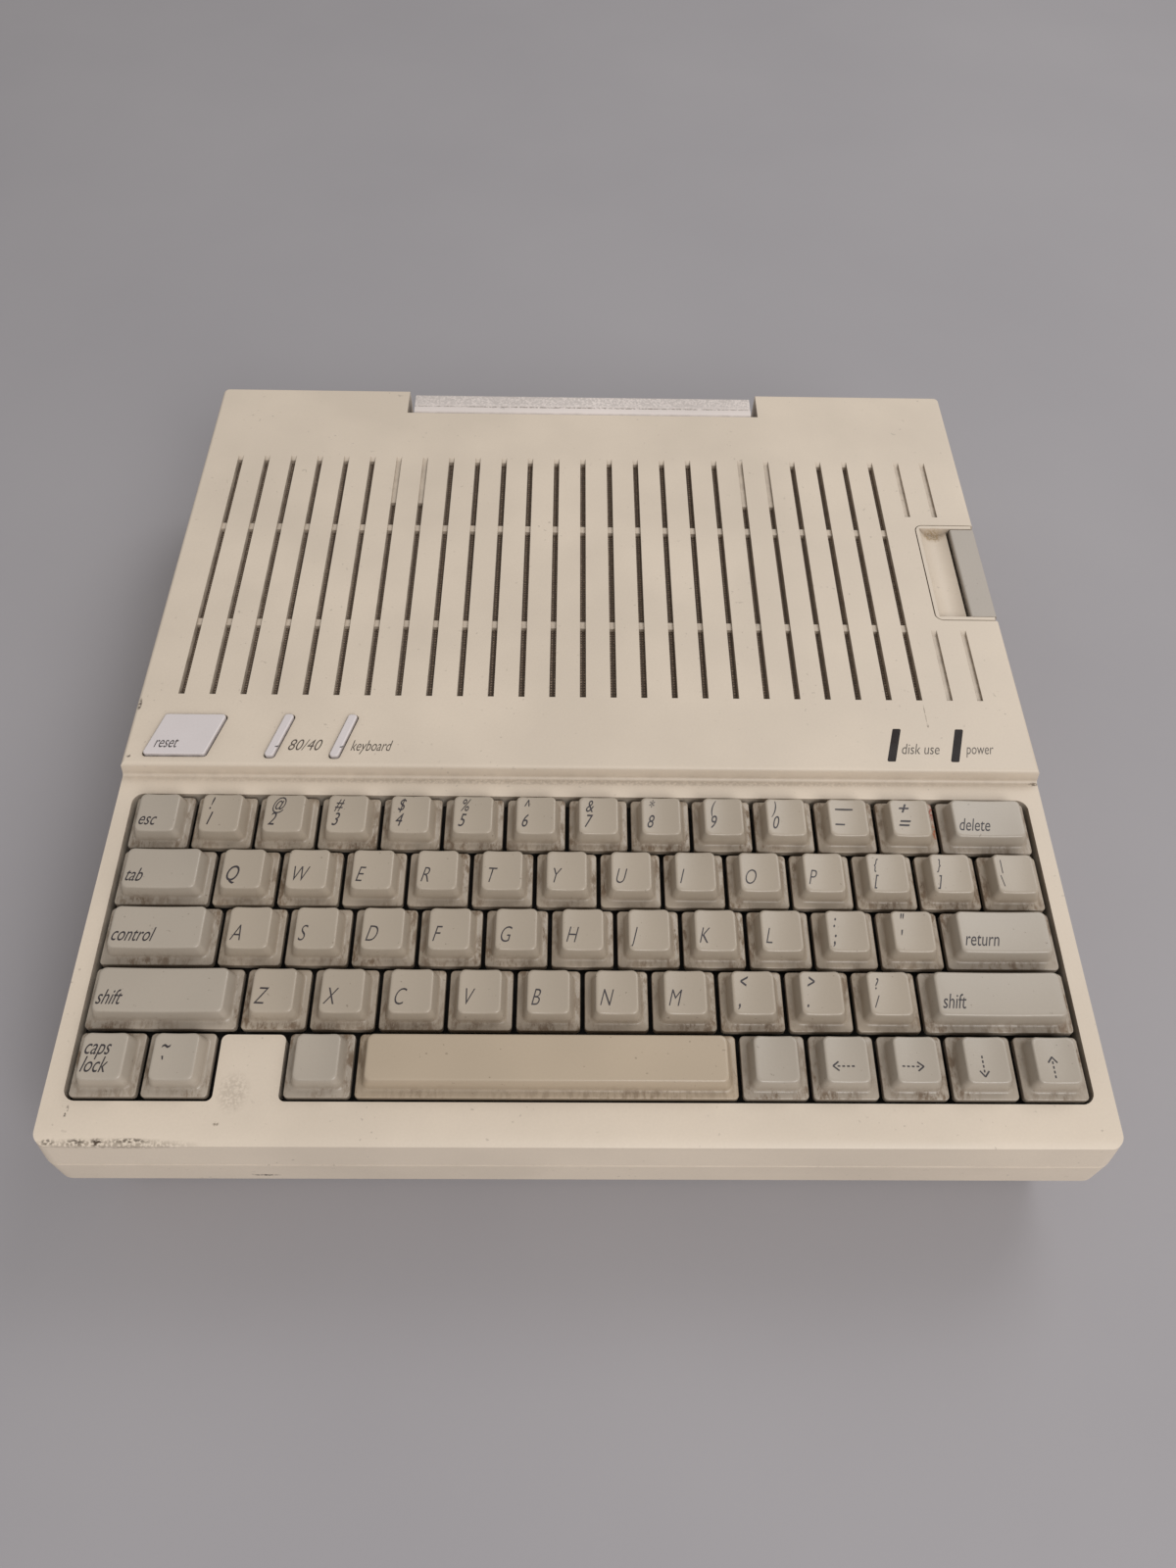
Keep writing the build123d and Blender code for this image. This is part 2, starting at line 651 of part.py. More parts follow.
with BuildPart() as bottom_case:
    add(bottom_form(0, FOOT_HEIGHT))
    chamfer(bottom_case.edges().group_by(Axis.Z)[-1], PARTING_CHAMFER)
    add(bottom_hollow(), mode=Mode.SUBTRACT)
    add(arm_channels(0), mode=Mode.SUBTRACT)
    add(finger_block(0), mode=Mode.SUBTRACT)
    add(port_pocket(), mode=Mode.SUBTRACT)
    add(port_openings(), mode=Mode.SUBTRACT)
    with Locations(
        *[
            Location((side * HANDLE_RECESS_WIDTH / 2, pivot_y, PIVOT_Z), (0, 90, 0))
            for side in (-1, 1)
        ]
    ):
        Cylinder(PIVOT_RADIUS + RUNNING, 2 * WALL + 0.1, mode=Mode.SUBTRACT)
    # Posts for the case screws, the drive, the main board and the loose units.
    add(floor_cylinders(post_places, POST_RADIUS, floor_z - 0.5, POST_SPLIT_Z))
    add(floor_cylinders(drive_feet, POST_RADIUS, floor_z - 0.5, DRIVE_BOTTOM_Z))
    add(floor_cylinders(board_bosses, POST_RADIUS, floor_z - 0.5, MAIN_BOARD_Z))
    add(floor_cylinders(converter_posts, POST_RADIUS, floor_z - 0.5, floor_z + converter_stand))
    add(floor_cylinders([(volume_x, volume_y)], POST_RADIUS, floor_z - 0.5, support_z))
    add(floor_cylinders([(-right_x + 12.0, phone_y)], POST_RADIUS, floor_z - 0.5, phone_z - 5))
    with BuildSketch(Plane.XY.offset(floor_z - 0.5)):
        with Locations(speaker_place):
            Circle(speaker_radius)
            Circle(speaker_radius - 3, mode=Mode.SUBTRACT)
    extrude(amount=2.5)
    add(floor_slots(), mode=Mode.SUBTRACT)
    # Screw clearance with a seat for each head, and pilot holes for the drive.
    add(
        floor_cylinders(post_places, SCREW_SHAFT_RADIUS + 0.3, 0, POST_SPLIT_Z + 1),
        mode=Mode.SUBTRACT,
    )
    add(
        floor_cylinders(
            post_places, SCREW_HEAD_RADIUS + 0.3, 0, FOOT_HEIGHT + SCREW_HEAD_HEIGHT + 0.4
        ),
        mode=Mode.SUBTRACT,
    )
    add(
        floor_cylinders(drive_feet, SCREW_SHAFT_RADIUS, DRIVE_BOTTOM_Z - 8, DRIVE_BOTTOM_Z + 1),
        mode=Mode.SUBTRACT,
    )
    add(
        floor_cylinders(board_bosses, SCREW_SHAFT_RADIUS, floor_z, MAIN_BOARD_Z + 1),
        mode=Mode.SUBTRACT,
    )
    # Slot and thumb hollow for the volume wheel, and the hole for the phone jack.
    with Locations((volume_x, volume_y, volume_z - 0.7)):
        Cylinder(volume_radius + 0.6, volume_thick + 1.4, align=STAND, mode=Mode.SUBTRACT)
    with Locations(Location((-right_x, phone_y, phone_z), (0, 90, 0))):
        Cylinder(phone_nose_radius, 3 * WALL, mode=Mode.SUBTRACT)
bottom_case.part.label = "bottom_case"
export_step(bottom_case.part, "parts/bottom_case.step")

with BuildPart() as rubber_feet:
    with Locations(*[(x, y, 0) for x, y in foot_places]):
        Cylinder(FOOT_RADIUS, FOOT_HEIGHT, align=STAND)
    fillet(rubber_feet.edges().group_by(Axis.Z)[0], 0.8)
rubber_feet.part.label = "rubber_feet"
export_step(rubber_feet.part, "parts/rubber_feet.step")


# =========================================================================== handle
grip_front_y = rear_y - GRIP_FRONT_INSET
grip_top_z = CASE_HEIGHT - HANDLE_TOP_GAP
arm_outer_x = HANDLE_WIDTH / 2

with BuildPart() as carry_handle:
    with BuildSketch(Plane.YZ.offset(-arm_outer_x)):
        with Locations((grip_front_y + GRIP_DEPTH / 2, grip_top_z - GRIP_HEIGHT / 2)):
            RectangleRounded(GRIP_DEPTH, GRIP_HEIGHT, GRIP_ROUND)
    extrude(amount=HANDLE_WIDTH)
    for side in (-1, 1):
        with BuildSketch(Plane.YZ.offset(side * (arm_outer_x - ARM_WIDTH / 2))):
            with Locations((pivot_y, (PIVOT_Z + grip_top_z - GRIP_HEIGHT / 2) / 2)):
                Rectangle(ARM_DEPTH, grip_top_z - GRIP_HEIGHT / 2 - PIVOT_Z)
            with Locations((pivot_y, PIVOT_Z)):
                Circle(ARM_DEPTH / 2)
        extrude(amount=ARM_WIDTH / 2, both=True)
        with BuildSketch(Plane.YZ.offset(side * (arm_outer_x + PIVOT_PIN_LENGTH / 2))):
            with Locations((pivot_y, PIVOT_Z)):
                Circle(PIVOT_RADIUS)
        extrude(amount=PIVOT_PIN_LENGTH / 2, both=True)
carry_handle.part.label = "carry_handle"
export_step(carry_handle.part, "parts/carry_handle.step")

# ========================================================================= keyboard
skirt_depth = KEY_PITCH - KEY_GAP
ceiling = KEY_TOP_HEIGHT - KEY_WALL
hollow_step = KEY_LEDGE_HEIGHT - KEY_WALL + 0.2


def key_outline(height, units, insets, radius):
    """Rounded rectangle across a key: the skirt's outline, inset at sides, front and rear."""
    side, front, rear = insets
    width = units * KEY_PITCH - KEY_GAP - 2 * side
    with BuildSketch(Plane.XY.offset(height)) as outline:
        with Locations((0, (front - rear) / 2)):
            RectangleRounded(width, skirt_depth - front - rear, radius)
    return outline.sketch


def key_cap(units, dished=True):
    """One key with its stem, about the middle of its cell, on the bezel's plane."""
    top_width = units * KEY_PITCH - KEY_GAP - 2 * KEY_TOP_INSET[0]
    base_hollow = [inset + KEY_WALL for inset in KEY_BASE_INSET]
    top_hollow = [inset + KEY_WALL for inset in KEY_TOP_INSET]
    flat = (0, 0, 0)
    with BuildPart() as cap:
        # Skirt, the ledge round the pedestal's foot, and the pedestal.
        add(key_outline(-KEY_SKIRT_DROP, units, flat, KEY_SKIRT_RADIUS))
        extrude(amount=KEY_SKIRT_DROP + KEY_LEDGE_HEIGHT)
        add(key_outline(KEY_LEDGE_HEIGHT, units, flat, KEY_SKIRT_RADIUS))
        add(key_outline(KEY_BASE_HEIGHT, units, KEY_BASE_INSET, KEY_TOP_RADIUS))
        loft(ruled=True)
        add(key_outline(KEY_BASE_HEIGHT, units, KEY_BASE_INSET, KEY_TOP_RADIUS))
        add(key_outline(KEY_TOP_HEIGHT, units, KEY_TOP_INSET, KEY_TOP_RADIUS))
        loft(ruled=True)
        if dished:
            dish_radius = top_width**2 / (8 * DISH_DEPTH) + DISH_DEPTH / 2
            with BuildSketch(Plane.XZ):
                with Locations((0, KEY_TOP_HEIGHT + dish_radius - DISH_DEPTH)):
                    Circle(dish_radius)
            extrude(amount=skirt_depth, both=True, mode=Mode.SUBTRACT)
        # Hollow below, as wide as the skirt allows, then up into the pedestal.
        add(key_outline(-KEY_SKIRT_DROP, units, (KEY_WALL,) * 3, KEY_SKIRT_RADIUS))
        extrude(amount=KEY_SKIRT_DROP + hollow_step, mode=Mode.SUBTRACT)
        add(key_outline(hollow_step - 0.1, units, base_hollow, KEY_SKIRT_RADIUS))
        add(key_outline(ceiling, units, top_hollow, KEY_SKIRT_RADIUS))
        loft(ruled=True, mode=Mode.SUBTRACT)
        with BuildSketch(Plane.XY.offset(-STEM_REACH)):
            Rectangle(STEM_WIDTH, STEM_DEPTH)
        extrude(amount=ceiling + 0.2 + STEM_REACH)
    return cap.part


def cell(column, row, units=1.0):
    """Middle of a key's cell in the keyboard's plane; row 0 is the front row."""
    return Pos((column + units / 2) * KEY_PITCH, (row + 0.5) * KEY_PITCH, 0)


def on_plate(places):
    """Places in the keyboard's plane as locations in the whole model."""
    return [key_plane.location * place for place in places]


# Name, first column, row from the front, width in key units.
single_keys = [
    ("caps_lock_key", 0.0, 0, 1.0),
    ("grave_key", 1.0, 0, 1.0),
    ("option_left_key", 3.0, 0, 1.0),
    ("space_bar", 4.0, 0, 5.5),
    ("option_right_key", 9.5, 0, 1.0),
    ("arrow_left_key", 10.5, 0, 1.0),
    ("arrow_right_key", 11.5, 0, 1.0),
    ("arrow_down_key", 12.5, 0, 1.0),
    ("arrow_up_key", 13.5, 0, 1.0),
    ("shift_left_key", 0.0, 1, 2.25),
    ("shift_right_key", 12.25, 1, 2.25),
    ("control_key", 0.0, 2, 1.75),
    ("return_key", 12.75, 2, 1.75),
    ("tab_key", 0.0, 3, 1.5),
    ("escape_key", 0.0, 4, 1.0),
    ("delete_key", 13.0, 4, 1.5),
]
# Rows of plain keys: name, first column, row, count.
key_rows = [
    ("bottom_letter_keys", 2.25, 1, 10),
    ("home_letter_keys", 1.75, 2, 11),
    ("top_letter_keys", 1.5, 3, 13),
    ("number_keys", 1.0, 4, 12),
]
row_cells = {
    name: [cell(column + i, row) for i in range(count)] for name, column, row, count in key_rows
}
single_cells = [cell(column, row, units) for _, column, row, units in single_keys]
all_cells = single_cells + [place for places in row_cells.values() for place in places]

caps = {units: key_cap(units) for units in (1.0, 1.5, 1.75, 2.25)}
caps[5.5] = key_cap(5.5, dished=False)

for name, column, row, units in single_keys:
    with BuildPart() as key:
        with Locations(*on_plate([cell(column, row, units)])):
            add(caps[units])
    key.part.label = name
    export_step(key.part, f"parts/{name}.step")

for name, places in row_cells.items():
    with BuildPart() as key_row:
        with Locations(*on_plate(places)):
            add(caps[1.0])
    key_row.part.label = name
    export_step(key_row.part, f"parts/{name}.step")

cell_points = [place.position for place in all_cells]
plate_margin = WELL_RIM - 0.2

with BuildPart() as keyboard_plate:
    with BuildSketch(key_plane.offset(-plate_drop)):
        with Locations(well_middle):
            Rectangle(well_width + 2 * plate_margin, well_depth + 2 * plate_margin)
        with Locations(*[(p.X, p.Y) for p in cell_points]):
            Rectangle(HOUSING_SIZE, HOUSING_SIZE, mode=Mode.SUBTRACT)
    extrude(amount=-PLATE_THICK)
keyboard_plate.part.label = "keyboard_plate"
export_step(keyboard_plate.part, "parts/keyboard_plate.step")

with BuildPart() as housing:
    with BuildSketch(Plane.XY.offset(-HOUSING_BOTTOM_DROP)):
        Rectangle(HOUSING_SIZE, HOUSING_SIZE)
    extrude(amount=HOUSING_BOTTOM_DROP - plate_drop)
    with BuildSketch(Plane.XY.offset(-plate_drop)):
        Rectangle(HOUSING_SIZE + 2 * HOUSING_FLANGE, HOUSING_SIZE + 2 * HOUSING_FLANGE)
    extrude(amount=HOUSING_FLANGE)
    with BuildSketch(Plane.XY.offset(-plate_drop)):
        Rectangle(HOUSING_TOP_SIZE, HOUSING_TOP_SIZE)
    extrude(amount=plate_drop - HOUSING_TOP_DROP)
    with BuildSketch(Plane.XY.offset(-HOUSING_BOTTOM_DROP)):
        Rectangle(STEM_WIDTH + 2 * SLIDE_GAP, STEM_DEPTH + 2 * SLIDE_GAP)
    extrude(amount=HOUSING_BOTTOM_DROP, mode=Mode.SUBTRACT)

with BuildPart() as key_switch_housings:
    with Locations(*on_plate(all_cells)):
        add(housing.part)
key_switch_housings.part.label = "key_switch_housings"
export_step(key_switch_housings.part, "parts/key_switch_housings.step")

# A hairpin spring stands on each housing behind the stem and lifts the key.
spring_reach = 4.0
spring_wire = 0.4
spring_middle = (ceiling - HOUSING_TOP_DROP) / 2
with BuildPart() as hairpin:
    with BuildSketch(Plane.XZ.offset(-STEM_DEPTH / 2 - SLIDE_GAP - 0.3)):
        Polygon(
            (-spring_reach, -HOUSING_TOP_DROP),
            (-spring_reach + 0.8, -HOUSING_TOP_DROP),
            (spring_reach, spring_middle - spring_wire / 2),
            (spring_reach, spring_middle + spring_wire / 2),
            (-spring_reach + 1.2, ceiling),
            (-spring_reach + 0.4, ceiling),
            (spring_reach - 1.2, spring_middle),
            align=None,
        )
    extrude(amount=-2.0)

with BuildPart() as key_springs:
    with Locations(*on_plate(all_cells)):
        add(hairpin.part)
key_springs.part.label = "key_springs"
export_step(key_springs.part, "parts/key_springs.step")

with BuildPart() as keyboard_board:
    with BuildSketch(key_plane.offset(-HOUSING_BOTTOM_DROP)):
        with Locations((field_width / 2, field_depth / 2)):
            Rectangle(field_width - 1, field_depth - 1)
    extrude(amount=-BOARD_THICK)
keyboard_board.part.label = "keyboard_board"
export_step(keyboard_board.part, "parts/keyboard_board.step")

# Flat cable from the underside of the keyboard's board to the main board.
cable_y = ridge_y - 16.0
cable_plane_z = key_front_z + (cable_y - key_front_y) * tan(tilt)
cable_top_z = cable_plane_z - (HOUSING_BOTTOM_DROP + BOARD_THICK) / cos(tilt)
board_front_y = ridge_y + 2.5
with BuildPart() as keyboard_cable:
    with BuildSketch(Plane.YZ):
        Polygon(
            (cable_y, cable_top_z),
            (cable_y + 1, cable_top_z + tan(tilt)),
            (cable_y + 1, 20.5),
            (board_front_y + 4, board_top_z + 4.0),
            (board_front_y + 4, board_top_z),
            (board_front_y + 3, board_top_z),
            (board_front_y + 3, board_top_z + 3.6),
            (cable_y, 20.0),
            align=None,
        )
    extrude(amount=22, both=True)
keyboard_cable.part.label = "keyboard_cable"
export_step(keyboard_cable.part, "parts/keyboard_cable.step")

# ===================================================================== top controls
cap_top_z = CASE_HEIGHT + BUTTON_RISE
cap_low_z = cap_top_z - CONTROL_DEPTH
stem_low_z = SWITCH_BOARD_Z + BOARD_THICK + CONTROL_TRAVEL + 0.4


def control_button(size, x):
    """Slanted button cap on its square stem."""
    with BuildPart() as button:
        add(slanted_block(size, (x,), cap_low_z, cap_top_z, BUTTON_CORNER))
        fillet(button.edges().group_by(Axis.Z)[-1], BUTTON_EDGE)
        with BuildSketch(Plane.XY.offset(stem_low_z)):
            with Locations((x, control_y)):
                Rectangle(CONTROL_STEM, CONTROL_STEM)
        extrude(amount=cap_low_z - stem_low_z + 0.5)
    return button.part


for name, size, x in [
    ("reset_button", RESET_SIZE, RESET_X),
    ("column_switch_button", SWITCH_SIZE, SWITCH_X[0]),
    ("layout_switch_button", SWITCH_SIZE, SWITCH_X[1]),
]:
    with BuildPart() as button:
        add(control_button(size, x))
    button.part.label = name
    export_step(button.part, f"parts/{name}.step")

with BuildPart() as mode_switches:
    with BuildSketch(Plane.XY.offset(SWITCH_BOARD_Z + BOARD_THICK)):
        with Locations(*[(x, control_y) for x in (RESET_X, *SWITCH_X)]):
            Rectangle(9, 9)
            Rectangle(CONTROL_STEM + 2 * SLIDE_GAP, CONTROL_STEM + 2 * SLIDE_GAP, mode=Mode.SUBTRACT)
    extrude(amount=SWITCH_BODY_HEIGHT)

with BuildPart() as switch_carrier:
    with BuildSketch(Plane.XY.offset(SWITCH_BOARD_Z)):
        with Locations(((RESET_X + SWITCH_X[1]) / 2 + 1, control_y)):
            Rectangle(SWITCH_X[1] - RESET_X + 26, 18)
    extrude(amount=BOARD_THICK)
switch_board = Compound(children=[switch_carrier.part, *mode_switches.part.solids()])
switch_board.label = "switch_board"
export_step(switch_board, "parts/switch_board.step")

with BuildPart() as lamp_windows:
    with Locations((0, -LAMP_STEP)):
        add(slanted_block(LAMP_SIZE, LAMP_X, CASE_HEIGHT - 1.8, CASE_HEIGHT - 0.1, LAMP_CORNER))
lamp_windows.part.label = "lamp_windows"
export_step(lamp_windows.part, "parts/lamp_windows.step")

with BuildPart() as lamps:
    with Locations(*[(x, lamp_y, CASE_HEIGHT - 12) for x in LAMP_X]):
        Cylinder(LED_RADIUS, 8, align=STAND)
    fillet(lamps.edges().group_by(Axis.Z)[-1], 2.0)
    with Locations(*[(x, lamp_y, CASE_HEIGHT - 13) for x in LAMP_X]):
        Cylinder(LED_RADIUS + 0.5, 1, align=STAND)
lamps.part.label = "lamps"
export_step(lamps.part, "parts/lamps.step")

mesh_low_x = -(VENT_COLUMNS // 2) * VENT_PITCH - MESH_MARGIN
mesh_high_x = right_x - RECESS_WIDTH - MESH_MARGIN
with BuildPart() as vent_mesh:
    with BuildSketch(Plane.XY.offset(CASE_HEIGHT - WALL)):
        with Locations(((mesh_low_x + mesh_high_x) / 2, (vent_front_y + vent_rear_y) / 2)):
            Rectangle(mesh_high_x - mesh_low_x, VENT_LENGTH + 2 * MESH_MARGIN)
    extrude(amount=-MESH_THICK)
vent_mesh.part.label = "vent_mesh"
export_step(vent_mesh.part, "parts/vent_mesh.step")

# =========================================================== lever and its recess
insert_low_y = recess_low_y + INSERT_GAP
insert_high_y = recess_high_y - INSERT_GAP
insert_low_x = right_x - RECESS_WIDTH + INSERT_GAP
lever_pivot_x = right_x - LEVER_PIVOT_INSET
lever_low_y = insert_low_y + INSERT_WALL + LEVER_GAP
lever_high_y = insert_high_y - INSERT_WALL - LEVER_GAP
lever_inner_x = right_x - LEVER_INNER_INSET
scoop_low_x = insert_low_x + SCOOP_RIM
scoop_high_x = lever_inner_x - LEVER_HUB_GAP
insert_right_x = side_x(CASE_HEIGHT) - 1.0

with BuildPart() as lever_recess:
    with BuildSketch(Plane.XY.offset(INSERT_BOTTOM_Z)):
        with Locations(((insert_low_x + insert_right_x) / 2, (insert_low_y + insert_high_y) / 2)):
            Rectangle(insert_right_x - insert_low_x, insert_high_y - insert_low_y)
    extrude(amount=CASE_HEIGHT - INSERT_BOTTOM_Z)
    fillet(lever_recess.edges().filter_by(Axis.Z).group_by(Axis.X)[0], 2.5)
    # Shallow dished floor, then a deep slot for the lever, between two end walls.
    with BuildSketch(Plane.XZ.offset(-insert_low_y - INSERT_WALL)):
        with BuildLine():
            rim = (scoop_low_x, CASE_HEIGHT)
            valley = ((scoop_low_x + scoop_high_x) / 2, SCOOP_LOW_Z)
            lip = (scoop_high_x, SCOOP_END_Z)
            ThreePointArc(rim, valley, lip)
            Polyline(
                lip,
                (scoop_high_x, INSERT_FLOOR_Z),
                (lever_pivot_x + 2, INSERT_FLOOR_Z),
                (lever_pivot_x + 2, INSERT_BOTTOM_Z - 1),
                (lever_pivot_x + 20, INSERT_BOTTOM_Z - 1),
                (lever_pivot_x + 20, CASE_HEIGHT + 1),
                (scoop_low_x, CASE_HEIGHT + 1),
                rim,
            )
        make_face()
    extrude(amount=-(insert_high_y - insert_low_y - 2 * INSERT_WALL), mode=Mode.SUBTRACT)
    with Locations(Location((lever_pivot_x, drive_y, LEVER_PIVOT_Z), (90, 0, 0))):
        Cylinder(LEVER_PIN_RADIUS + RUNNING, 3 * RECESS_LENGTH, mode=Mode.SUBTRACT)
lever_recess.part.label = "lever_recess"
export_step(lever_recess.part, "parts/lever_recess.step")

lever_top_z = CASE_HEIGHT - 0.2
with BuildPart() as drive_lever:
    with BuildSketch(Plane.XZ.offset(-lever_low_y)):
        Polygon(
            (lever_inner_x, lever_top_z),
            (side_x(lever_top_z) - 0.2, lever_top_z),
            (side_x(LEVER_BOTTOM_Z) - 0.2, LEVER_BOTTOM_Z),
            (side_x(LEVER_BOTTOM_Z) - 3.2, LEVER_BOTTOM_Z),
            (side_x(SLOT_Z + SLOT_HEIGHT) - 3.6, LEVER_HEEL_Z),
            (lever_inner_x, LEVER_BACK_Z),
            align=None,
        )
    extrude(amount=-(lever_high_y - lever_low_y))
    fillet(drive_lever.edges().filter_by(Axis.Y).group_by(Axis.Z)[-1], 0.6)
    lever_middle_y = (lever_low_y + lever_high_y) / 2
    with Locations(Location((lever_pivot_x, lever_middle_y, LEVER_PIVOT_Z), (90, 0, 0))):
        Cylinder(LEVER_PIN_RADIUS, lever_high_y - lever_low_y + 2 * (LEVER_GAP + INSERT_WALL - 0.1))
drive_lever.part.label = "drive_lever"
export_step(drive_lever.part, "parts/drive_lever.step")

# ============================================================================ drive
drive_low_y = drive_y - DRIVE_WIDTH / 2
drive_high_y = drive_y + DRIVE_WIDTH / 2
drive_high_x = right_x - DRIVE_RIGHT_INSET
drive_low_x = drive_high_x - DECK_LENGTH
rail_low_x = drive_high_x - DECK_LENGTH - 4
deck_top_z = DECK_Z + DECK_THICK
clamp_pivot_x = right_x - CLAMP_PIVOT_INSET
clamp_pivot_z = CLAMP_ARM_Z + CLAMP_ARM_THICK / 2
ear_y = 24.0
ear_thick = 3.0
track_zero_x = spindle_x - HEAD_TRACK_ZERO
post_x = track_zero_x - 36.0
bracket_high_x = spindle_x - ROTOR_RADIUS - 4.0
head_slot_low_x = post_x - 9.0
head_slot_high_x = track_zero_x + HEAD_TRAVEL + 8.0
guide_z = SLOT_Z - 0.7
stator_z = ROTOR_Z - 4.0

with BuildPart() as drive_frame:
    add(span_box((drive_low_x, drive_low_y, DECK_Z), (drive_high_x, drive_high_y, deck_top_z)))
    for low_y in (drive_low_y, drive_high_y - DRIVE_RAIL):
        add(
            span_box(
                (rail_low_x, low_y, DRIVE_BOTTOM_Z + 6),
                (drive_high_x, low_y + DRIVE_RAIL, DRIVE_TOP_Z),
            )
        )
    # Ledges that the disk's edges slide on.
    for low_y, high_y in (
        (drive_low_y, drive_low_y + 7),
        (drive_high_y - 7, drive_high_y),
    ):
        add(span_box((drive_low_x, low_y, deck_top_z - 1), (drive_high_x, high_y, guide_z)))
    with Locations(*[(x, y, DRIVE_BOTTOM_Z) for x, y in drive_feet]):
        Cylinder(5.5, DECK_Z - DRIVE_BOTTOM_Z + 1, align=STAND)
    # Slot for the head, bearing for the spindle, brackets for rods and screw.
    with BuildSketch(Plane.XY.offset(DECK_Z - 1)):
        with Locations(((head_slot_low_x + head_slot_high_x) / 2, drive_y)):
            Rectangle(head_slot_high_x - head_slot_low_x, 22)
    extrude(amount=DECK_THICK + 2, mode=Mode.SUBTRACT)
    with Locations((spindle_x, drive_y, DECK_Z - 2)):
        Cylinder(9, DECK_THICK + 2, align=STAND)
    with Locations((spindle_x, drive_y, DECK_Z - 3)):
        Cylinder(SPINDLE_RADIUS + RUNNING, 10, align=STAND, mode=Mode.SUBTRACT)
    for low_x, high_x in ((drive_low_x, drive_low_x + 3), (bracket_high_x - 3, bracket_high_x)):
        add(span_box((low_x, drive_y - 20, ROD_Z - 6), (high_x, drive_y + 20, DECK_Z + 1)))
    with Locations(
        *[
            Location(((drive_low_x + bracket_high_x) / 2, drive_y + dy, ROD_Z), (0, 90, 0))
            for dy in (-ROD_SPACING / 2, ROD_SPACING / 2)
        ]
    ):
        Cylinder(ROD_RADIUS, bracket_high_x - drive_low_x + 2, mode=Mode.SUBTRACT)
    with Locations(Location(((drive_low_x + bracket_high_x) / 2, drive_y, ROD_Z), (0, 90, 0))):
        Cylinder(SCREW_RADIUS + RUNNING, bracket_high_x - drive_low_x + 2, mode=Mode.SUBTRACT)
    # Ears that carry the clamp arm's pin.
    for side in (-1, 1):
        middle = drive_y + side * (ear_y + ear_thick / 2)
        add(
            span_box(
                (clamp_pivot_x - 5, middle - ear_thick / 2, deck_top_z - 1),
                (clamp_pivot_x + 5, middle + ear_thick / 2, clamp_pivot_z + 4),
            )
        )
    with Locations(Location((clamp_pivot_x, drive_y, clamp_pivot_z), (90, 0, 0))):
        Cylinder(CLAMP_PIN_RADIUS + RUNNING, 2 * (ear_y + ear_thick) + 2, mode=Mode.SUBTRACT)
    # Posts that hold the spindle motor's board under the rotor.
    with Locations((spindle_x, drive_y)):
        with PolarLocations(ROTOR_RADIUS + 5, 3):
            with Locations((0, 0, stator_z + BOARD_THICK)):
                Cylinder(2.5, DECK_Z - stator_z, align=STAND)
drive_frame.part.label = "drive_frame"
export_step(drive_frame.part, "parts/drive_frame.step")

with BuildPart() as spindle:
    with Locations((spindle_x, drive_y, deck_top_z + 0.5)):
        Cylinder(HUB_RADIUS, HUB_TOP_Z - deck_top_z - 0.5, align=STAND)
    with Locations((spindle_x, drive_y, HUB_TOP_Z - HUB_CUP_DEPTH + 0.8)):
        Cone(
            HUB_CUP_FLOOR_RADIUS,
            HUB_CUP_RADIUS,
            HUB_CUP_DEPTH - 0.8,
            align=STAND,
            mode=Mode.SUBTRACT,
        )
    with Locations((spindle_x, drive_y, ROTOR_Z)):
        Cylinder(SPINDLE_RADIUS, deck_top_z + 0.8 - ROTOR_Z, align=STAND)
    with Locations((spindle_x, drive_y, ROTOR_Z)):
        Cylinder(ROTOR_RADIUS, ROTOR_HEIGHT, align=STAND)
    with Locations((spindle_x, drive_y, ROTOR_Z)):
        Cylinder(ROTOR_RADIUS - 3, ROTOR_HEIGHT - 2, align=STAND, mode=Mode.SUBTRACT)
    with Locations((spindle_x, drive_y, ROTOR_Z)):
        Cylinder(SPINDLE_RADIUS, ROTOR_HEIGHT, align=STAND)
spindle.part.label = "spindle"
export_step(spindle.part, "parts/spindle.step")

with BuildPart() as spindle_motor:
    with BuildSketch(Plane.XY.offset(stator_z)):
        with Locations((spindle_x, drive_y)):
            RectangleRounded(2 * ROTOR_RADIUS + 20, 2 * ROTOR_RADIUS + 20, 6)
    extrude(amount=BOARD_THICK)
    with Locations((spindle_x, drive_y, stator_z + BOARD_THICK)):
        with PolarLocations(14, 6):
            Cylinder(5.5, 5.0, align=STAND)
spindle_motor.part.label = "spindle_motor"
export_step(spindle_motor.part, "parts/spindle_motor.step")

cone_low_z = HUB_TOP_Z - HUB_CUP_DEPTH + 0.8 + 0.3
cone_top_z = CLAMP_ARM_Z - 1.0
with BuildPart() as clamp_arm:
    with BuildSketch(Plane.XY.offset(CLAMP_ARM_Z)):
        with Locations(((clamp_pivot_x + spindle_x) / 2, drive_y)):
            RectangleRounded(spindle_x - clamp_pivot_x + 24, CLAMP_ARM_WIDTH, 6)
        with Locations((spindle_x, drive_y)):
            Circle(CONE_SHAFT_RADIUS + RUNNING, mode=Mode.SUBTRACT)
    extrude(amount=CLAMP_ARM_THICK)
    with Locations(Location((clamp_pivot_x, drive_y, clamp_pivot_z), (90, 0, 0))):
        Cylinder(CLAMP_PIN_RADIUS, 2 * (ear_y + ear_thick))
    for side in (-1, 1):
        with BuildSketch(Plane.XY.offset(CLAMP_ARM_Z + CLAMP_ARM_THICK)):
            with Locations(((clamp_pivot_x + spindle_x) / 2 - 8, drive_y + side * 11)):
                Rectangle(spindle_x - clamp_pivot_x - 26, 1.6)
        extrude(amount=1.5)
clamp_arm.part.label = "clamp_arm"
export_step(clamp_arm.part, "parts/clamp_arm.step")

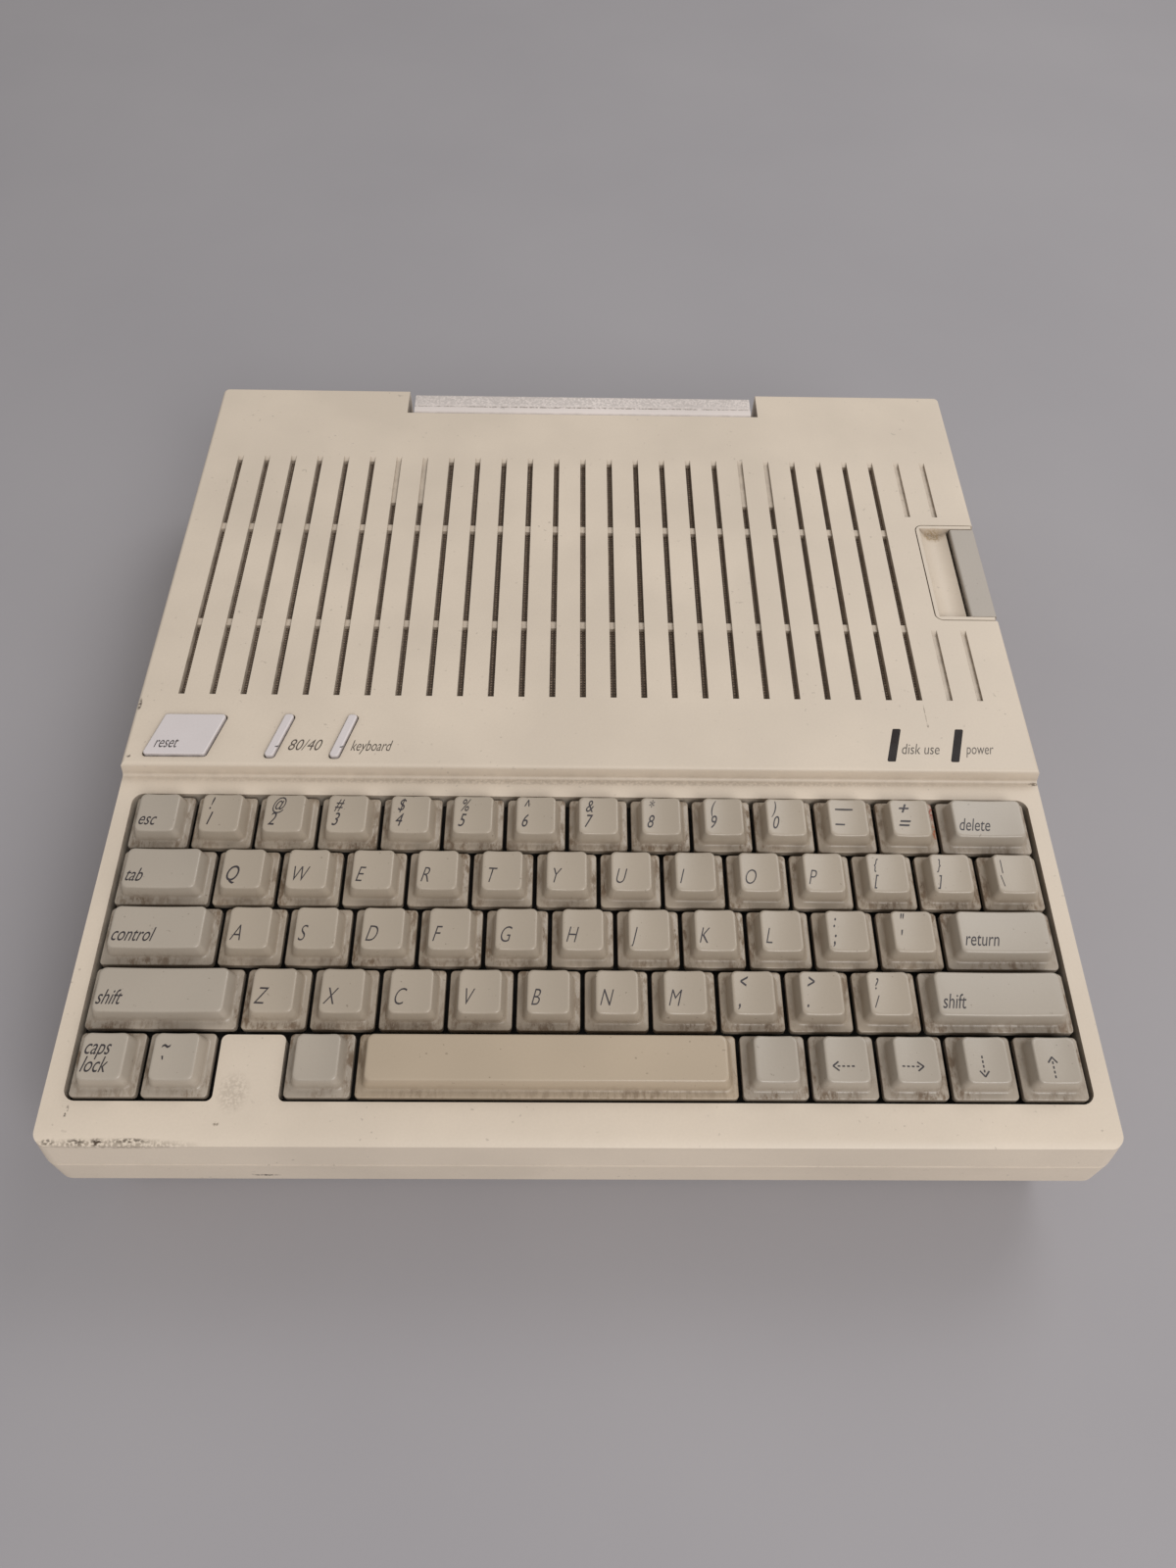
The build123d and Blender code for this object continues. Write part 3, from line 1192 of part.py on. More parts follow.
cup_slope = (HUB_CUP_RADIUS - HUB_CUP_FLOOR_RADIUS) / (HUB_CUP_DEPTH - 0.8)
with BuildPart() as clamp_cone:
    with Locations((spindle_x, drive_y, cone_low_z)):
        Cone(
            HUB_CUP_FLOOR_RADIUS - 0.3,
            HUB_CUP_FLOOR_RADIUS - 0.3 + cup_slope * 3.2,
            3.2,
            align=STAND,
        )
    with Locations((spindle_x, drive_y, cone_low_z + 3.2)):
        Cylinder(9, cone_top_z - cone_low_z - 3.2, align=STAND)
    with Locations((spindle_x, drive_y, cone_top_z)):
        Cylinder(CONE_SHAFT_RADIUS, CLAMP_ARM_Z + CLAMP_ARM_THICK + 1.4 - cone_top_z, align=STAND)
    with Locations((spindle_x, drive_y, CLAMP_ARM_Z + CLAMP_ARM_THICK + 0.4)):
        Cylinder(CONE_SHAFT_RADIUS + 1.5, 1.0, align=STAND)
clamp_cone.part.label = "clamp_cone"
export_step(clamp_cone.part, "parts/clamp_cone.step")

carriage_low_z = ROD_Z - 4.0
carriage_high_z = DECK_Z - 1.0
head_z = SLOT_Z + 0.7
with BuildPart() as head_carriage:
    add(
        span_box(
            (post_x - 6, drive_y - 18, carriage_low_z),
            (track_zero_x + 4, drive_y + 18, carriage_high_z),
        )
    )
    # Lower head under the disk, and the arm of the upper head over it.
    add(
        span_box(
            (track_zero_x - 4, drive_y - 6, carriage_high_z - 1),
            (track_zero_x + 4, drive_y + 6, head_z),
        )
    )
    add(
        span_box(
            (post_x - 6, drive_y - 8, carriage_high_z - 1),
            (post_x + 4, drive_y + 8, CLAMP_ARM_Z - 1.6),
        )
    )
    add(
        span_box(
            (post_x - 6, drive_y - 8, SLOT_Z + SLOT_HEIGHT - 0.6),
            (track_zero_x + 6, drive_y + 8, CLAMP_ARM_Z - 1.6),
        )
    )
    for dy in (-ROD_SPACING / 2, ROD_SPACING / 2):
        with Locations(Location(((post_x + track_zero_x) / 2, drive_y + dy, ROD_Z), (0, 90, 0))):
            Cylinder(ROD_RADIUS + RUNNING, 80, mode=Mode.SUBTRACT)
    with Locations(Location(((post_x + track_zero_x) / 2, drive_y, ROD_Z), (0, 90, 0))):
        Cylinder(SCREW_RADIUS + SLIDE_GAP, 80, mode=Mode.SUBTRACT)
head_carriage.part.label = "head_carriage"
export_step(head_carriage.part, "parts/head_carriage.step")

with BuildPart() as guide_rods:
    with Locations(
        *[
            Location(((drive_low_x + bracket_high_x) / 2, drive_y + dy, ROD_Z), (0, 90, 0))
            for dy in (-ROD_SPACING / 2, ROD_SPACING / 2)
        ]
    ):
        Cylinder(ROD_RADIUS, bracket_high_x - drive_low_x)
guide_rods.part.label = "guide_rods"
export_step(guide_rods.part, "parts/guide_rods.step")

stepper_length = 17.0
with BuildPart() as stepper_motor:
    with BuildSketch(Plane.YZ.offset(drive_low_x)):
        with Locations((drive_y, ROD_Z)):
            RectangleRounded(22, 22, 4)
            Circle(SCREW_RADIUS + SLIDE_GAP, mode=Mode.SUBTRACT)
    extrude(amount=-stepper_length)
stepper_motor.part.label = "stepper_motor"
export_step(stepper_motor.part, "parts/stepper_motor.step")

screw_low_x = drive_low_x - stepper_length + 2
with BuildPart() as lead_screw:
    with Locations(Location(((screw_low_x + bracket_high_x) / 2, drive_y, ROD_Z), (0, 90, 0))):
        Cylinder(SCREW_RADIUS, bracket_high_x - screw_low_x)
lead_screw.part.label = "lead_screw"
export_step(lead_screw.part, "parts/lead_screw.step")

with BuildPart() as drive_board:
    add(
        span_box(
            (drive_low_x, drive_low_y, DRIVE_TOP_Z),
            (clamp_pivot_x + 30, drive_high_y, DRIVE_TOP_Z + BOARD_THICK),
        )
    )
    with BuildSketch(Plane.XY.offset(DRIVE_TOP_Z + BOARD_THICK)):
        with Locations((drive_low_x + 17, drive_y)):
            with GridLocations(14, 24, 2, 5):
                Rectangle(7, 18)
    extrude(amount=3.2)
drive_board.part.label = "drive_board"
export_step(drive_board.part, "parts/drive_board.step")

# =============================================================== boards and ports
notch_half = (HANDLE_RECESS_WIDTH / 2 + WALL, HANDLE_RECESS_WIDTH / 2 - CHANNEL_WIDTH - WALL)
with BuildPart() as main_board:
    add(
        span_box(
            (-right_x + BOARD_EDGE_GAP, board_front_y, MAIN_BOARD_Z),
            (right_x - BOARD_EDGE_GAP, panel_inner_y - 0.4, board_top_z),
        )
    )
    for side in (-1, 1):
        low_x, high_x = sorted((side * (notch_half[0] + 0.5), side * (notch_half[1] - 0.5)))
        add(
            span_box((low_x, rear_y - CHANNEL_DEPTH - WALL - 0.5, 0), (high_x, rear_y, 20)),
            mode=Mode.SUBTRACT,
        )
    add(floor_cylinders(post_places, POST_RADIUS + 1, 0, 20), mode=Mode.SUBTRACT)
    add(floor_cylinders(drive_feet, POST_RADIUS + 1, 0, 20), mode=Mode.SUBTRACT)
    add(floor_cylinders(board_bosses, SCREW_SHAFT_RADIUS + 0.2, 0, 20), mode=Mode.SUBTRACT)
main_board.part.label = "main_board"
export_step(main_board.part, "parts/main_board.step")

with BuildPart() as board_chips:
    with BuildSketch(Plane.XY.offset(board_top_z)):
        # Memory, two rows of eight; then the large sockets and the small logic.
        with Locations((-90, 95)):
            with GridLocations(12, 26, 6, 2):
                Rectangle(7.5, 20)
        with Locations((-85, 40)):
            with GridLocations(40, 19, 2, 2):
                Rectangle(36, 14)
        with Locations((right_x - 114, 30)):
            with GridLocations(24, 12, 4, 6):
                Rectangle(19, 7)
        with Locations((60, 92)):
            with GridLocations(26, 12, 3, 3):
                Rectangle(20, 7)
    extrude(amount=4.0)
board_chips.part.label = "board_chips"
export_step(board_chips.part, "parts/board_chips.step")

port_body_y = panel_inner_y - 12.0
shell_reach = panel_y + 5.5
with BuildPart() as d_connectors:
    for x, width, pins in d_ports:
        half = width / 2
        add(
            span_box(
                (x - half - 6, panel_inner_y - 1.2, PORT_Z - 6),
                (x + half + 6, panel_inner_y, PORT_Z + 6),
            )
        )
        add(
            span_box(
                (x - half - 1, port_body_y, board_top_z),
                (x + half + 1, panel_inner_y - 1, PORT_Z + 5),
            )
        )
        with BuildSketch(Plane.XZ.offset(-panel_inner_y + 0.5)):
            with Locations((x, PORT_Z)):
                RectangleRounded(width, d_port_height, 1.9)
        extrude(amount=-(shell_reach - panel_inner_y + 0.5))
        # Ring gap between the metal shell and the block of contacts.
        with BuildSketch(Plane.XZ.offset(-shell_reach)):
            with Locations((x, PORT_Z)):
                RectangleRounded(width - 1, d_port_height - 1, 1.5)
                RectangleRounded(width - 2.6, d_port_height - 2.6, 0.9, mode=Mode.SUBTRACT)
        extrude(amount=4.5, mode=Mode.SUBTRACT)
        with BuildSketch(Plane.XZ.offset(-shell_reach)):
            for row, count in enumerate(pins):
                with Locations((x, PORT_Z + 1.4 - 2.8 * row)):
                    with GridLocations(2.75, 1, count, 1):
                        Circle(0.6)
        extrude(amount=3.5, mode=Mode.SUBTRACT)

with BuildPart() as din_connectors:
    for x in din_ports:
        add(
            span_box(
                (x - 9, port_body_y, board_top_z),
                (x + 9, panel_inner_y, PORT_Z + 8),
            )
        )
        with BuildSketch(Plane.XZ.offset(-panel_inner_y + 0.5)):
            with Locations((x, PORT_Z)):
                Circle(din_radius)
        extrude(amount=-(panel_y + 2 - panel_inner_y + 0.5))
        with BuildSketch(Plane.XZ.offset(-panel_y - 2)):
            with Locations((x, PORT_Z)):
                Circle(din_radius - 0.9)
                Circle(din_radius - 2.6, mode=Mode.SUBTRACT)
        extrude(amount=5, mode=Mode.SUBTRACT)
        with BuildSketch(Plane.XZ.offset(-panel_y - 2)):
            with Locations((x, PORT_Z)):
                for angle in (180, 225, 270, 315, 360):
                    with Locations(Vector(3.2, 0).rotate(Axis.Z, angle)):
                        Circle(0.7)
        extrude(amount=4, mode=Mode.SUBTRACT)
connectors = Compound(children=[*d_connectors.part.solids(), *din_connectors.part.solids()])
connectors.label = "connectors"
export_step(connectors, "parts/connectors.step")

with BuildPart() as video_jack:
    add(
        span_box(
            (video_x - 4.6, port_body_y, board_top_z),
            (video_x + 4.6, panel_inner_y, PORT_Z + 5),
        )
    )
    with BuildSketch(Plane.XZ.offset(-panel_inner_y + 0.5)):
        with Locations((video_x, PORT_Z)):
            Circle(video_radius)
    extrude(amount=-(rear_y - 0.2 - panel_inner_y + 0.5))
    with BuildSketch(Plane.XZ.offset(-rear_y + 0.2)):
        with Locations((video_x, PORT_Z)):
            Circle(video_radius - 0.8)
    extrude(amount=PORT_RECESS - 1, mode=Mode.SUBTRACT)
    with BuildSketch(Plane.XZ.offset(-rear_y + 1.5)):
        with Locations((video_x, PORT_Z)):
            Circle(2.2)
            Circle(1.6, mode=Mode.SUBTRACT)
    extrude(amount=PORT_RECESS - 1)
video_jack.part.label = "video_jack"
export_step(video_jack.part, "parts/video_jack.step")

rocker_y = panel_y - 1.0
rocker_size = (power_opening[0] - 1.6, power_opening[1] - 2.0)
with BuildPart() as power_switch:
    with BuildSketch(Plane.XZ.offset(-panel_y - 1)):
        with Locations((power_x, PORT_Z)):
            Rectangle(*power_opening)
            Rectangle(rocker_size[0] + 0.6, rocker_size[1] + 1.0, mode=Mode.SUBTRACT)
    extrude(amount=PORT_RECESS + 1)
    add(
        span_box(
            (power_x - power_opening[0] / 2, panel_y - PORT_RECESS - 3, PORT_Z - power_opening[1] / 2),
            (power_x + power_opening[0] / 2, panel_y - PORT_RECESS, PORT_Z + power_opening[1] / 2),
        )
    )
    with Locations(Location((power_x, rocker_y, PORT_Z), (0, 90, 0))):
        Cylinder(1.05, power_opening[0] - 0.2, mode=Mode.SUBTRACT)
power_switch.part.label = "power_switch"
export_step(power_switch.part, "parts/power_switch.step")

with BuildPart() as power_rocker:
    with BuildSketch(Plane.YZ.offset(power_x - rocker_size[0] / 2)):
        Polygon(
            (rocker_y - 2, PORT_Z - rocker_size[1] / 2 + 1.5),
            (rocker_y + 4.5, PORT_Z - rocker_size[1] / 2 + 0.6),
            (rocker_y + 2.2, PORT_Z),
            (rocker_y + 2.0, PORT_Z + rocker_size[1] / 2 - 0.4),
            (rocker_y - 2, PORT_Z + rocker_size[1] / 2 - 1.5),
            (rocker_y - 3.5, PORT_Z),
            align=None,
        )
    extrude(amount=rocker_size[0])
    with Locations(Location((power_x, rocker_y, PORT_Z), (0, 90, 0))):
        Cylinder(1.0, power_opening[0] - 0.4)
power_rocker.part.label = "power_rocker"
export_step(power_rocker.part, "parts/power_rocker.step")

# ======================================================================= loose units
converter_z = floor_z + converter_stand
converter_middle = tuple(low + size / 2 for low, size in zip(converter_low, converter_size[:2]))
with BuildPart() as power_converter:
    add(
        span_box(
            (*converter_low, converter_z),
            (
                converter_low[0] + converter_size[0],
                converter_low[1] + converter_size[1],
                converter_z + converter_size[2],
            ),
        )
    )
    fillet(power_converter.edges().filter_by(Axis.Z), 2)
    with BuildSketch(Plane.XY.offset(converter_z + converter_size[2])):
        with Locations(converter_middle):
            with GridLocations(8, 0, 9, 1):
                SlotOverall(44, 3, rotation=90)
    extrude(amount=-2, mode=Mode.SUBTRACT)
power_converter.part.label = "power_converter"
export_step(power_converter.part, "parts/power_converter.step")

speaker_z = floor_z + 2.0
with BuildPart() as speaker_basket:
    with Locations((*speaker_place, speaker_z)):
        Cylinder(speaker_radius, 2, align=STAND)
    with Locations((*speaker_place, speaker_z + 2)):
        Cone(speaker_radius - 3, 16, 9, align=STAND)
    with Locations((*speaker_place, speaker_z + 11)):
        Cylinder(16, 7, align=STAND)
    with Locations((*speaker_place, speaker_z)):
        Cone(speaker_radius - 4, 8, 10, align=STAND, mode=Mode.SUBTRACT)

with BuildPart() as speaker_cone:
    with Locations((*speaker_place, speaker_z)):
        Cone(speaker_radius - 4, 8, 10, align=STAND)
    with Locations((*speaker_place, speaker_z - 0.01)):
        Cone(speaker_radius - 5, 7, 9.4, align=STAND, mode=Mode.SUBTRACT)
speaker = Compound(children=[speaker_basket.part, speaker_cone.part])
speaker.label = "speaker"
export_step(speaker, "parts/speaker.step")

volume_shaft_radius = 2.5
with BuildPart() as volume_wheel:
    with BuildSketch(Plane.XY.offset(volume_z)):
        with Locations((volume_x, volume_y)):
            Circle(volume_radius)
            with PolarLocations(volume_radius, 36):
                Circle(0.45, mode=Mode.SUBTRACT)
            Circle(volume_shaft_radius + RUNNING, mode=Mode.SUBTRACT)
    extrude(amount=volume_thick)
volume_wheel.part.label = "volume_wheel"
export_step(volume_wheel.part, "parts/volume_wheel.step")

with BuildPart() as volume_control:
    with BuildSketch(Plane.XY.offset(support_z)):
        with Locations((volume_x + 1, volume_y)):
            RectangleRounded(15, 15, 1)
    extrude(amount=volume_z - support_z - 0.5)
    with Locations((volume_x, volume_y, volume_z - 1)):
        Cylinder(volume_shaft_radius, volume_thick + 1.5, align=STAND)
volume_control.part.label = "volume_control"
export_step(volume_control.part, "parts/volume_control.step")

phone_inner_x = -right_x + WALL
with BuildPart() as phone_jack:
    add(
        span_box(
            (phone_inner_x, phone_y - 6, phone_z - 5),
            (phone_inner_x + 15, phone_y + 6, phone_z + 5),
        )
    )
    with Locations(Location((phone_inner_x - WALL / 2 + 0.1, phone_y, phone_z), (0, 90, 0))):
        Cylinder(phone_nose_radius, WALL)
    with Locations(Location((phone_inner_x + 5, phone_y, phone_z), (0, 90, 0))):
        Cylinder(phone_bore_radius, 16, mode=Mode.SUBTRACT)
phone_jack.part.label = "phone_jack"
export_step(phone_jack.part, "parts/phone_jack.step")

with BuildPart() as screws:
    # Case screws from below, then the drive's and the main board's own.
    add(floor_cylinders(post_places, SCREW_SHAFT_RADIUS, FOOT_HEIGHT + 0.4, POST_SPLIT_Z + 10))
    add(
        floor_cylinders(
            post_places, SCREW_HEAD_RADIUS, FOOT_HEIGHT + 0.4, FOOT_HEIGHT + 0.4 + SCREW_HEAD_HEIGHT
        )
    )
    add(
        floor_cylinders(
            board_bosses, SCREW_SHAFT_RADIUS, MAIN_BOARD_Z - 3.5, board_top_z + SCREW_HEAD_HEIGHT
        )
    )
    add(
        floor_cylinders(
            board_bosses, SCREW_HEAD_RADIUS, board_top_z, board_top_z + SCREW_HEAD_HEIGHT
        )
    )
screws.part.label = "screws"
export_step(screws.part, "parts/screws.step")
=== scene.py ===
# %% [markdown]
# # A portable home computer, dressed over its CAD frame
# The CAD model already holds every part at its true size. This lesson loads it as a
# fixed frame, gives each part the finish of the real one, and remodels the parts that
# hands touch and eyes see first: the keycaps with their printed legends, the springs
# under them, and the small lettering on the case.

# %% Load the frame
import json
from math import copysign, cos, pi, radians, sin

import bpy
from mathutils import Euler, Matrix, Vector

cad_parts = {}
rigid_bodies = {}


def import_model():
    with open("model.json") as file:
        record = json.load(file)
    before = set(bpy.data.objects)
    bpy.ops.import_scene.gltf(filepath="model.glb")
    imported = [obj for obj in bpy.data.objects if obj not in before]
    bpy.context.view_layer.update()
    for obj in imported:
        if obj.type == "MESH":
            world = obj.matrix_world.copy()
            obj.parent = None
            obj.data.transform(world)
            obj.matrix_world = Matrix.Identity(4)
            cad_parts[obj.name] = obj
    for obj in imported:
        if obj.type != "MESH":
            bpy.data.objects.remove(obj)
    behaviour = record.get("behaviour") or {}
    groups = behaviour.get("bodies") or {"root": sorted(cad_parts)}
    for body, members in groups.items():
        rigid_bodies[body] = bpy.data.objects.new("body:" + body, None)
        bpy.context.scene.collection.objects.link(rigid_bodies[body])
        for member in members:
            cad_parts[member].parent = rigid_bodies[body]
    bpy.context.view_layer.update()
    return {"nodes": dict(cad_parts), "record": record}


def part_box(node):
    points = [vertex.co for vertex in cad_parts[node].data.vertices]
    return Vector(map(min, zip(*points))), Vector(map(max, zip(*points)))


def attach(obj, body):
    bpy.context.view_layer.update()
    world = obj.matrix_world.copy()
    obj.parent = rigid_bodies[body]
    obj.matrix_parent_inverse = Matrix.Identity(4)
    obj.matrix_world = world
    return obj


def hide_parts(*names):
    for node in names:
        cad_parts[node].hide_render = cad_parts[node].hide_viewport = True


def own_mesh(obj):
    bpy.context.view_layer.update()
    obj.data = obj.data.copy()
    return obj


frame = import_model()
nodes = frame["nodes"]
MM = 0.001
print("parts in the frame:", len(nodes))

# %% [markdown]
# The camera comes first, so that every later choice is judged in the same view. It
# stands above the front edge and looks down over the keyboard.

# %% Camera
lens = bpy.data.cameras.new("camera")
lens.lens = 27.045
lens.sensor_width = 36.0
lens.clip_start = 0.01
camera = bpy.data.objects.new("camera", lens)
bpy.context.scene.collection.objects.link(camera)
camera.location = (-0.00424, -0.25118, 0.36112)
camera.rotation_euler = Euler([radians(angle) for angle in (35.042, -1.015, -0.143)])
bpy.context.scene.camera = camera
bpy.context.scene.view_settings.view_transform = "Standard"
print("camera lens:", lens.lens, "mm")

# %% [markdown]
# The room gives a plain soft light. One large lamp stands in front and to the right, and
# a weaker one behind draws the rear edges. Together with the world they light a flat top
# at a level of about one, so a colour renders as it is written.

# %% Light
world = bpy.data.worlds.new("room light")
bpy.context.scene.world = world
world.use_nodes = True
sky = world.node_tree.nodes["Background"]
sky.inputs["Color"].default_value = (1.0, 0.985, 0.96, 1.0)
sky.inputs["Strength"].default_value = 0.45


def soft_lamp(name, place, size, power):
    """Adds a square soft lamp that points at the object, and returns it."""
    data = bpy.data.lights.new(name, "AREA")
    data.shape = "SQUARE"
    data.size = size
    data.energy = power
    lamp = bpy.data.objects.new(name, data)
    bpy.context.scene.collection.objects.link(lamp)
    lamp.location = place
    lamp.rotation_euler = (-Vector(place)).to_track_quat("-Z", "Y").to_euler()
    return lamp


window_lamp = soft_lamp("window lamp", (0.75, 0.75, 1.25), 0.8, 6.5)
front_lamp = soft_lamp("front lamp", (0.55, -1.25, 1.15), 0.9, 15.5)
print("lamps:", window_lamp.data.energy, front_lamp.data.energy, "W")

# %% [markdown]
# A plain floor carries the object and takes its shadow.

# %% Floor
def deselect():
    """Leaves nothing selected, so that the next operator works on its own piece."""
    bpy.ops.object.select_all(action="DESELECT")


deselect()
bpy.ops.mesh.primitive_plane_add(size=8.0, location=(0, 0, 0))
floor = bpy.context.object
floor.name = "floor"
print("floor:", floor.dimensions[0], "m wide")

# %% [markdown]
# ## Tools for finishes
# Every finish is a small network of nodes. These helpers add one node at a time, fill
# its sockets with a value or another node's output, and give back what it puts out.

# %% Node helpers
def node(made, kind, sockets=None, **settings):
    """Adds a node to a material; sockets take numbers, colours or other outputs."""
    added = made.node_tree.nodes.new(kind)
    for name, value in settings.items():
        setattr(added, name, value)
    for name, value in (sockets or {}).items():
        if isinstance(value, bpy.types.NodeSocket):
            made.node_tree.links.new(value, added.inputs[name])
        else:
            added.inputs[name].default_value = value
    return added


def mix(made, share, first, second):
    """Colour that goes from the first to the second as the share rises."""
    mixer = node(made, "ShaderNodeMix", data_type="RGBA")
    for socket, value in ((0, share), (6, first), (7, second)):
        if isinstance(value, bpy.types.NodeSocket):
            made.node_tree.links.new(value, mixer.inputs[socket])
        else:
            mixer.inputs[socket].default_value = value if socket == 0 else (*value, 1.0)
    return mixer.outputs[2]


def noise(made, scale, detail=2.0, stretch=(1, 1, 1), rough=0.5):
    """Cloudy pattern on the piece's own coordinates; scale is in patches per metre."""
    place = node(made, "ShaderNodeTexCoord").outputs["Object"]
    if tuple(stretch) != (1, 1, 1):
        place = node(made, "ShaderNodeMapping", {"Vector": place, "Scale": stretch}).outputs[0]
    sockets = {"Vector": place, "Scale": scale, "Detail": detail, "Roughness": rough}
    return node(made, "ShaderNodeTexNoise", sockets).outputs[0]


def spread(made, value, low, high, out_low=0.0, out_high=1.0):
    """Stretches a value between two limits to another range, and holds it there."""
    sockets = {
        "Value": value, "From Min": low, "From Max": high, "To Min": out_low, "To Max": out_high
    }
    return node(made, "ShaderNodeMapRange", sockets).outputs[0]


def times(made, first, second):
    """Product of two values."""
    product = node(made, "ShaderNodeMath", operation="MULTIPLY")
    for socket, value in enumerate((first, second)):
        if isinstance(value, bpy.types.NodeSocket):
            made.node_tree.links.new(value, product.inputs[socket])
        else:
            product.inputs[socket].default_value = value
    return product.outputs[0]


def blank(name, rough, metal=0.0):
    """A new material with its roughness and metalness set, and its shader."""
    made = bpy.data.materials.new(name)
    made.use_nodes = True
    shader = made.node_tree.nodes["Principled BSDF"]
    shader.inputs["Roughness"].default_value = rough
    shader.inputs["Metallic"].default_value = metal
    return made, shader


def connect(made, output, shader, socket):
    """Links a pattern to a socket of the shader."""
    made.node_tree.links.new(output, shader.inputs[socket])


def bump(made, shader, height, depth, strength=1.0):
    """Lets a pattern raise the surface by a depth in metres."""
    sockets = {"Height": height, "Distance": depth, "Strength": strength}
    connect(made, node(made, "ShaderNodeBump", sockets).outputs[0], shader, "Normal")


def dress(piece, look):
    """Gives a piece one material and no other."""
    piece.data.materials.clear()
    piece.data.materials.append(look)


def shade_of(colour, factor):
    """The same colour, darker or lighter."""
    return tuple(part * factor for part in colour)


def crevices(made, reach):
    """How closed in a point is, from 0 in the open to 1 in a deep gap."""
    sockets = {"Distance": reach}
    open_share = node(made, "ShaderNodeAmbientOcclusion", sockets, samples=4).outputs["AO"]
    return spread(made, open_share, 0.95, 0.35)


print("node helpers are ready")

# %% [markdown]
# ## Old moulded plastic
# The case, keys and buttons are one kind of plastic with a fine moulded grain. Decades
# of light have yellowed it in soft patches, dust has settled in the corners, and small
# dark specks of dirt sit in the grain. Noise at three sizes gives the patches, the
# grain and the specks. The closeness of other surfaces browns the corners, as dust and
# as painted shade together.
# The dents and smears that the real case has are listed one by one: each stain fades from its
# middle, and noise makes its edge ragged.

# %% Plastic finish
DIRT_AND_SHADE = (0.10, 0.065, 0.035)
SOOT = (0.035, 0.022, 0.014)


def add_stain_and_shade(made, tone, stain_and_shade_marks):
    """Adds ragged marks of stain and painted shade, each with a middle, half sizes in mm, a
    colour and a share.
    """
    place = node(made, "ShaderNodeTexCoord").outputs["Object"]
    ragged = spread(made, noise(made, 1300, 3.0), 0.38, 0.56)
    for middle, reach, colour, share in stain_and_shade_marks:
        scale = [1 / (size * MM) for size in reach]
        shift = [-spot * MM * factor for spot, factor in zip(middle, scale)]
        sockets = {"Vector": place, "Location": shift, "Scale": scale}
        local = node(made, "ShaderNodeMapping", sockets).outputs[0]
        far = node(made, "ShaderNodeVectorMath", {0: local}, operation="LENGTH").outputs["Value"]
        near = times(made, spread(made, far, 1.0, 0.45), share)
        tone = mix(made, times(made, near, ragged), tone, colour)
    return tone


def plastic(name, colour, rough, grain=1.0, shade_and_grime=0.75, stain_and_shade_marks=()):
    """Aged plastic: patches, grain, specks, dust and painted shade near the corners, and listed
    marks of stain and painted shade.
    """
    made, shader = blank(name, rough)
    cloud = spread(made, noise(made, 22, 3.0), 0.35, 0.65)
    tone = mix(made, cloud, shade_of(colour, 0.95), shade_of(colour, 1.05))
    grain_noise = noise(made, 1500, 2.0)
    mottle = spread(made, grain_noise, 0.3, 0.7, 0.0, 0.10)
    tone = mix(made, mottle, tone, shade_of(colour, 0.72))
    specks = spread(made, noise(made, 620, 1.0), 0.725, 0.76, 0.0, 0.35)
    sparse = spread(made, noise(made, 60, 2.0), 0.45, 0.62)
    tone = mix(made, times(made, specks, sparse), tone, shade_of(colour, 0.32))
    patchy = spread(made, noise(made, 240, 4.0), 0.3, 0.7, 0.35, 1.0)
    # Dust and painted shade: brown where other surfaces close in, found by ambient occlusion.
    corner = times(made, times(made, crevices(made, 0.004), patchy), shade_and_grime)
    tone = mix(made, corner, tone, DIRT_AND_SHADE)
    if stain_and_shade_marks:
        tone = add_stain_and_shade(made, tone, stain_and_shade_marks)
    connect(made, tone, shader, "Base Color")
    connect(made, spread(made, cloud, 0.0, 1.0, rough - 0.04, rough + 0.04), shader, "Roughness")
    bump(made, shader, grain_noise, 0.00006 * grain, 0.5)
    return made


CASE_STAINS = [
    ((-140.6, -150.2, 51.2), (2.2, 1.0, 1.0), SOOT, 0.75),
    ((-133.3, -150.2, 51.2), (2.8, 1.1, 1.0), SOOT, 0.8),
    ((-127.8, -150.2, 51.2), (1.8, 1.3, 1.2), SOOT, 1.0),
    ((-119.0, -149.8, 51.4), (5.5, 0.8, 0.8), SOOT, 0.7),
    ((-124.0, -150.6, 50.8), (25.0, 1.8, 1.8), DIRT_AND_SHADE, 0.5),
    ((-137.1, -141.6, 52.4), (0.4, 1.1, 1.0), SOOT, 1.0),
    ((-137.4, -143.4, 52.3), (0.4, 1.0, 1.0), SOOT, 1.0),
    ((-142.3, -12.7, 63.3), (0.8, 3.0, 1.0), SOOT, 0.9),
    ((-141.5, -33.1, 63.5), (0.8, 0.8, 1.0), SOOT, 0.9),
    ((142.6, -37.6, 58.3), (1.8, 0.8, 1.5), DIRT_AND_SHADE, 0.8),
    ((-93.9, -137.1, 52.6), (5.0, 6.5, 2.0), DIRT_AND_SHADE, 0.22),
    ((-97.2, -145.5, 52.1), (1.0, 0.7, 1.0), DIRT_AND_SHADE, 0.8),
    ((0.0, -38.2, 58.2), (150.0, 1.2, 2.0), DIRT_AND_SHADE, 0.22),
    ((110.9, -13.0, 63.5), (0.22, 6.5, 1.0), DIRT_AND_SHADE, 0.6),
    ((111.0, -18.4, 63.5), (0.4, 1.0, 1.0), DIRT_AND_SHADE, 0.8),
    ((128.5, 72.0, 60.5), (4.5, 3.0, 4.0), (0.30, 0.20, 0.09), 0.7),
    ((-87.1, -152.4, 30.7), (4.5, 1.5, 0.8), SOOT, 1.0),
]
